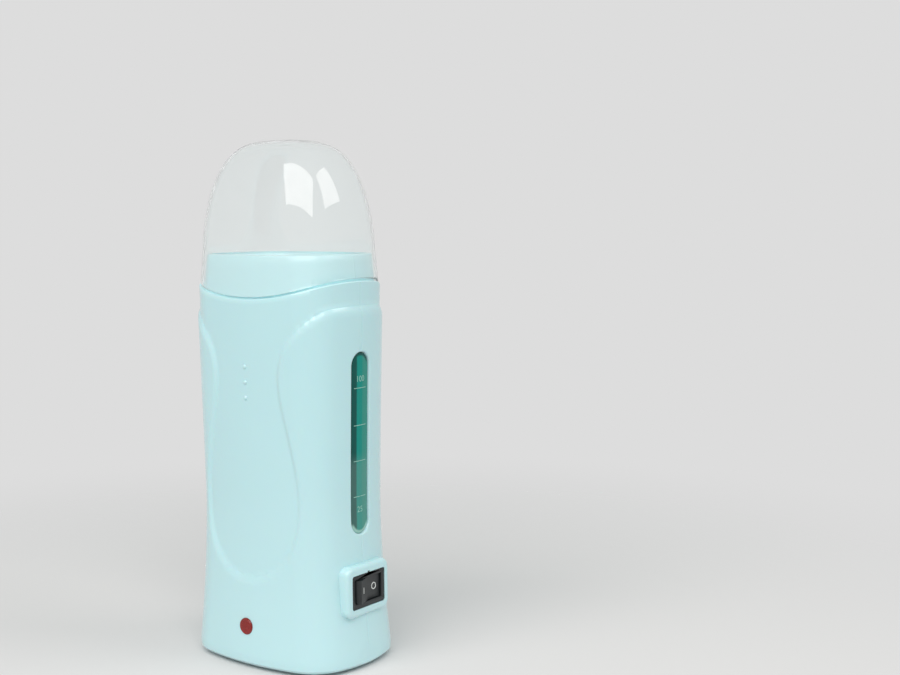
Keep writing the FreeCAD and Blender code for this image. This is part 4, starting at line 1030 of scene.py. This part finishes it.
class HEATER_OT_switch(bpy.types.Operator):
    """Round the edges of the switch case and its rocker, and mark the rocker's two ends."""

    bl_idname = "heater.switch"
    bl_label = "Switch"

    MARK_ASIDE = 3.6
    MARK_HALF = 1.15
    MARK_STROKE = 0.17
    CASE_ROUND = 0.2
    ROCKER_ROUND = 0.25
    OUTSIDE = 0.02  # metres in front of the bezel, from where the rocker's face is looked for

    def ring_mark(self):
        """The ring for off, drawn as (lift, y, z) in millimetres."""
        bpy.ops.mesh.primitive_torus_add(
            major_radius=self.MARK_HALF,
            minor_radius=self.MARK_STROKE,
            major_segments=40,
            minor_segments=10,
            location=(0, self.MARK_ASIDE, SWITCH_MIDDLE),
            rotation=(0, math.pi / 2, 0),
        )
        return settle(bpy.context.object)

    def bar_mark(self):
        """The bar for on, with round ends."""
        bpy.ops.mesh.primitive_uv_sphere_add(
            segments=16, ring_count=12, radius=self.MARK_STROKE, location=(0, -self.MARK_ASIDE, SWITCH_MIDDLE)
        )
        bar = settle(bpy.context.object)
        for vertex in bar.data.vertices:
            away = vertex.co.z - SWITCH_MIDDLE
            if abs(away) > 0.01:
                vertex.co.z += math.copysign(self.MARK_HALF - self.MARK_STROKE, away)
        return bar

    def marks(self, rocker):
        """Both marks, laid on the rocker's face and half sunk in it."""
        corners = [vertex.co for vertex in rocker.data.vertices]
        face = BVHTree.FromPolygons(corners, [polygon.vertices for polygon in rocker.data.polygons])
        pieces = []
        for make in (self.ring_mark, self.bar_mark):
            deselect()
            mark = make()
            for vertex in mark.data.vertices:
                lift, y, z = vertex.co * MM
                start = Vector((BEZEL_FACE_X * MM + self.OUTSIDE, y, z))
                hit = face.ray_cast(start, Vector((-1, 0, 0)))[0]
                vertex.co = (hit.x + lift, y, z)
            pieces.append(mark)
        return smooth(joined(pieces), 60.0)

    def execute(self, context):
        black = finish("black_abs_grained")
        case = softened_copy("switch_housing", self.CASE_ROUND)
        dress(case, "softened_switch_case", black, "housing", "black_plastic", "switch_housing")
        rocker = softened_copy("switch_rocker", self.ROCKER_ROUND)
        marks = self.marks(rocker)
        dress(rocker, "softened_rocker", black, "rocker", "black_plastic", "switch_rocker")
        dress(marks, "rocker_marks", finish("white_pad_print"), "rocker", "white_nylon")
        return {"FINISHED"}


class HEATER_OT_base(bpy.types.Operator):
    """Round the edges of the inlet, the bezel, the base plate and the feet."""

    bl_idname = "heater.base"
    bl_label = "Inlet, bezel and base"

    PIECES = (
        ("inlet_housing", 0.25, "black_abs_grained", "black_plastic"),
        ("top_ring", 0.25, "mint_polypropylene_satin", "mint_shell"),
        ("base_plate", 0.2, "mint_polypropylene_satin", "mint_shell"),
        *((foot, 0.15, "grey_rubber_matt", "rubber") for foot in FEET),
    )

    def execute(self, context):
        for node, width, material, slot in self.PIECES:
            dress(softened_copy(node, width), "softened_" + node, finish(material), "housing", slot, node)
        return {"FINISHED"}


class HEATER_OT_stage(bpy.types.Operator):
    """Lay the floor, set the lights and stand the camera."""

    bl_idname = "heater.stage"
    bl_label = "Stage"

    AIM = Vector((0, 0, 0.13))  # the soft boxes face this point, in metres
    SOFT_BOXES = (  # name, azimuth and elevation, width and height, glow
        ("front_soft_box", -70, 44, 1.45, 0.68, 2.9),
        ("side_soft_box", 22, 37, 0.5, 0.46, 2.6),
    )

    def soft_box(self, name, azimuth, elevation, width, height, glow):
        """A soft box one metre from the heater: directions in degrees, size in metres."""
        light = bpy.data.lights.new(name, "AREA")
        light.shape = "RECTANGLE"
        light.size = width
        light.size_y = height
        light.energy = glow * math.pi * width * height
        light.color = bpy.context.scene.heater_stage.lamp
        obj = bpy.data.objects.new(name, light)
        turn, rise = math.radians(azimuth), math.radians(elevation)
        away = Vector((math.cos(turn) * math.cos(rise), math.sin(turn) * math.cos(rise), math.sin(rise)))
        obj.location = self.AIM + away
        obj.rotation_euler = (-away).to_track_quat("-Z", "Y").to_euler()
        bpy.context.scene.collection.objects.link(obj)

    def air(self, scene, stage):
        """Light from all round: the backdrop is seen at full strength and lights the heater less."""
        world = bpy.data.worlds.new("studio")
        world.use_nodes = True
        tree = world.node_tree
        tree.nodes.clear()
        path = add_node(tree, "ShaderNodeLightPath").outputs
        seen = path["Is Camera Ray"]
        for ray in ("Is Transmission Ray", "Is Glossy Ray"):
            either = add_node(tree, "ShaderNodeMath", {"operation": "MAXIMUM"}, {0: seen, 1: path[ray]})
            seen = either.outputs["Value"]
        light = add_node(
            tree,
            "ShaderNodeMix",
            {"data_type": "RGBA", 6: rgba(stage.air), 7: rgba(stage.backdrop)},
            {0: seen},
        )
        backdrop = add_node(tree, "ShaderNodeBackground", links={"Color": light.outputs[2]})
        add_node(tree, "ShaderNodeOutputWorld", links={"Surface": backdrop.outputs["Background"]})
        scene.world = world

    def floor(self):
        deselect()
        bpy.ops.mesh.primitive_grid_add(x_subdivisions=24, y_subdivisions=24, size=12.0)
        obj = bpy.context.object
        obj.name = "floor"
        obj.data.materials.append(finish("pale_paper_seamless"))

    def camera(self, stage):
        target = Vector((0, 0, stage.height))
        place = target + stage.distance * Vector((math.cos(stage.azimuth), math.sin(stage.azimuth), 0))
        level = Matrix.Rotation(-stage.aside, 3, "Z") @ (target - place).normalized()
        side = level.cross(Vector((0, 0, 1)))
        forward = Matrix.Rotation(-stage.down, 3, side) @ level
        up = Matrix.Rotation(stage.lean, 3, forward) @ side.cross(forward)
        data = bpy.data.cameras.new("camera")
        data.lens = stage.lens
        data.sensor_width = 36.0
        data.clip_start = 0.01
        obj = bpy.data.objects.new("camera", data)
        turn = Matrix((forward.cross(up), up, -forward)).transposed()
        obj.matrix_world = Matrix.Translation(place) @ turn.to_4x4()
        bpy.context.scene.collection.objects.link(obj)
        bpy.context.scene.camera = obj

    def execute(self, context):
        scene = context.scene
        stage = scene.heater_stage
        self.floor()
        self.air(scene, stage)
        scene.view_settings.view_transform = "Standard"
        for box in self.SOFT_BOXES:
            self.soft_box(*box)
        self.camera(stage)
        return {"FINISHED"}


class HEATER_PT_panel(bpy.types.Panel):
    """Lists the steps that dress the heater, with the sizes and colours that they use."""

    bl_idname = "HEATER_PT_panel"
    bl_label = "Roll-on Wax Heater"
    bl_space_type = "VIEW_3D"
    bl_region_type = "UI"
    bl_category = "Heater"

    def draw(self, context):
        for group in (context.scene.heater_sizes, context.scene.heater_finish, context.scene.heater_stage):
            box = self.layout.box()
            for name in group.__annotations__:
                box.prop(group, name)
        for operator in OPERATORS:
            self.layout.operator(operator.bl_idname)


GROUPS = {"heater_sizes": HeaterSizes, "heater_finish": HeaterFinish, "heater_stage": HeaterStage}
OPERATORS = (
    HEATER_OT_finishes,
    HEATER_OT_shells,
    HEATER_OT_windows,
    HEATER_OT_cap,
    HEATER_OT_switch,
    HEATER_OT_base,
    HEATER_OT_stage,
)


def register():
    for name, group in GROUPS.items():
        bpy.utils.register_class(group)
        setattr(bpy.types.Scene, name, PointerProperty(type=group))
    for one in (*OPERATORS, HEATER_PT_panel):
        bpy.utils.register_class(one)


def unregister():
    for one in (HEATER_PT_panel, *reversed(OPERATORS)):
        bpy.utils.unregister_class(one)
    for name, group in GROUPS.items():
        delattr(bpy.types.Scene, name)
        bpy.utils.unregister_class(group)


def main():
    register()
    bpy.ops.heater.finishes()
    bpy.ops.heater.shells()
    bpy.ops.heater.windows()
    bpy.ops.heater.cap()
    bpy.ops.heater.switch()
    bpy.ops.heater.base()
    bpy.ops.heater.stage()


if __name__ == "__main__":
    main()
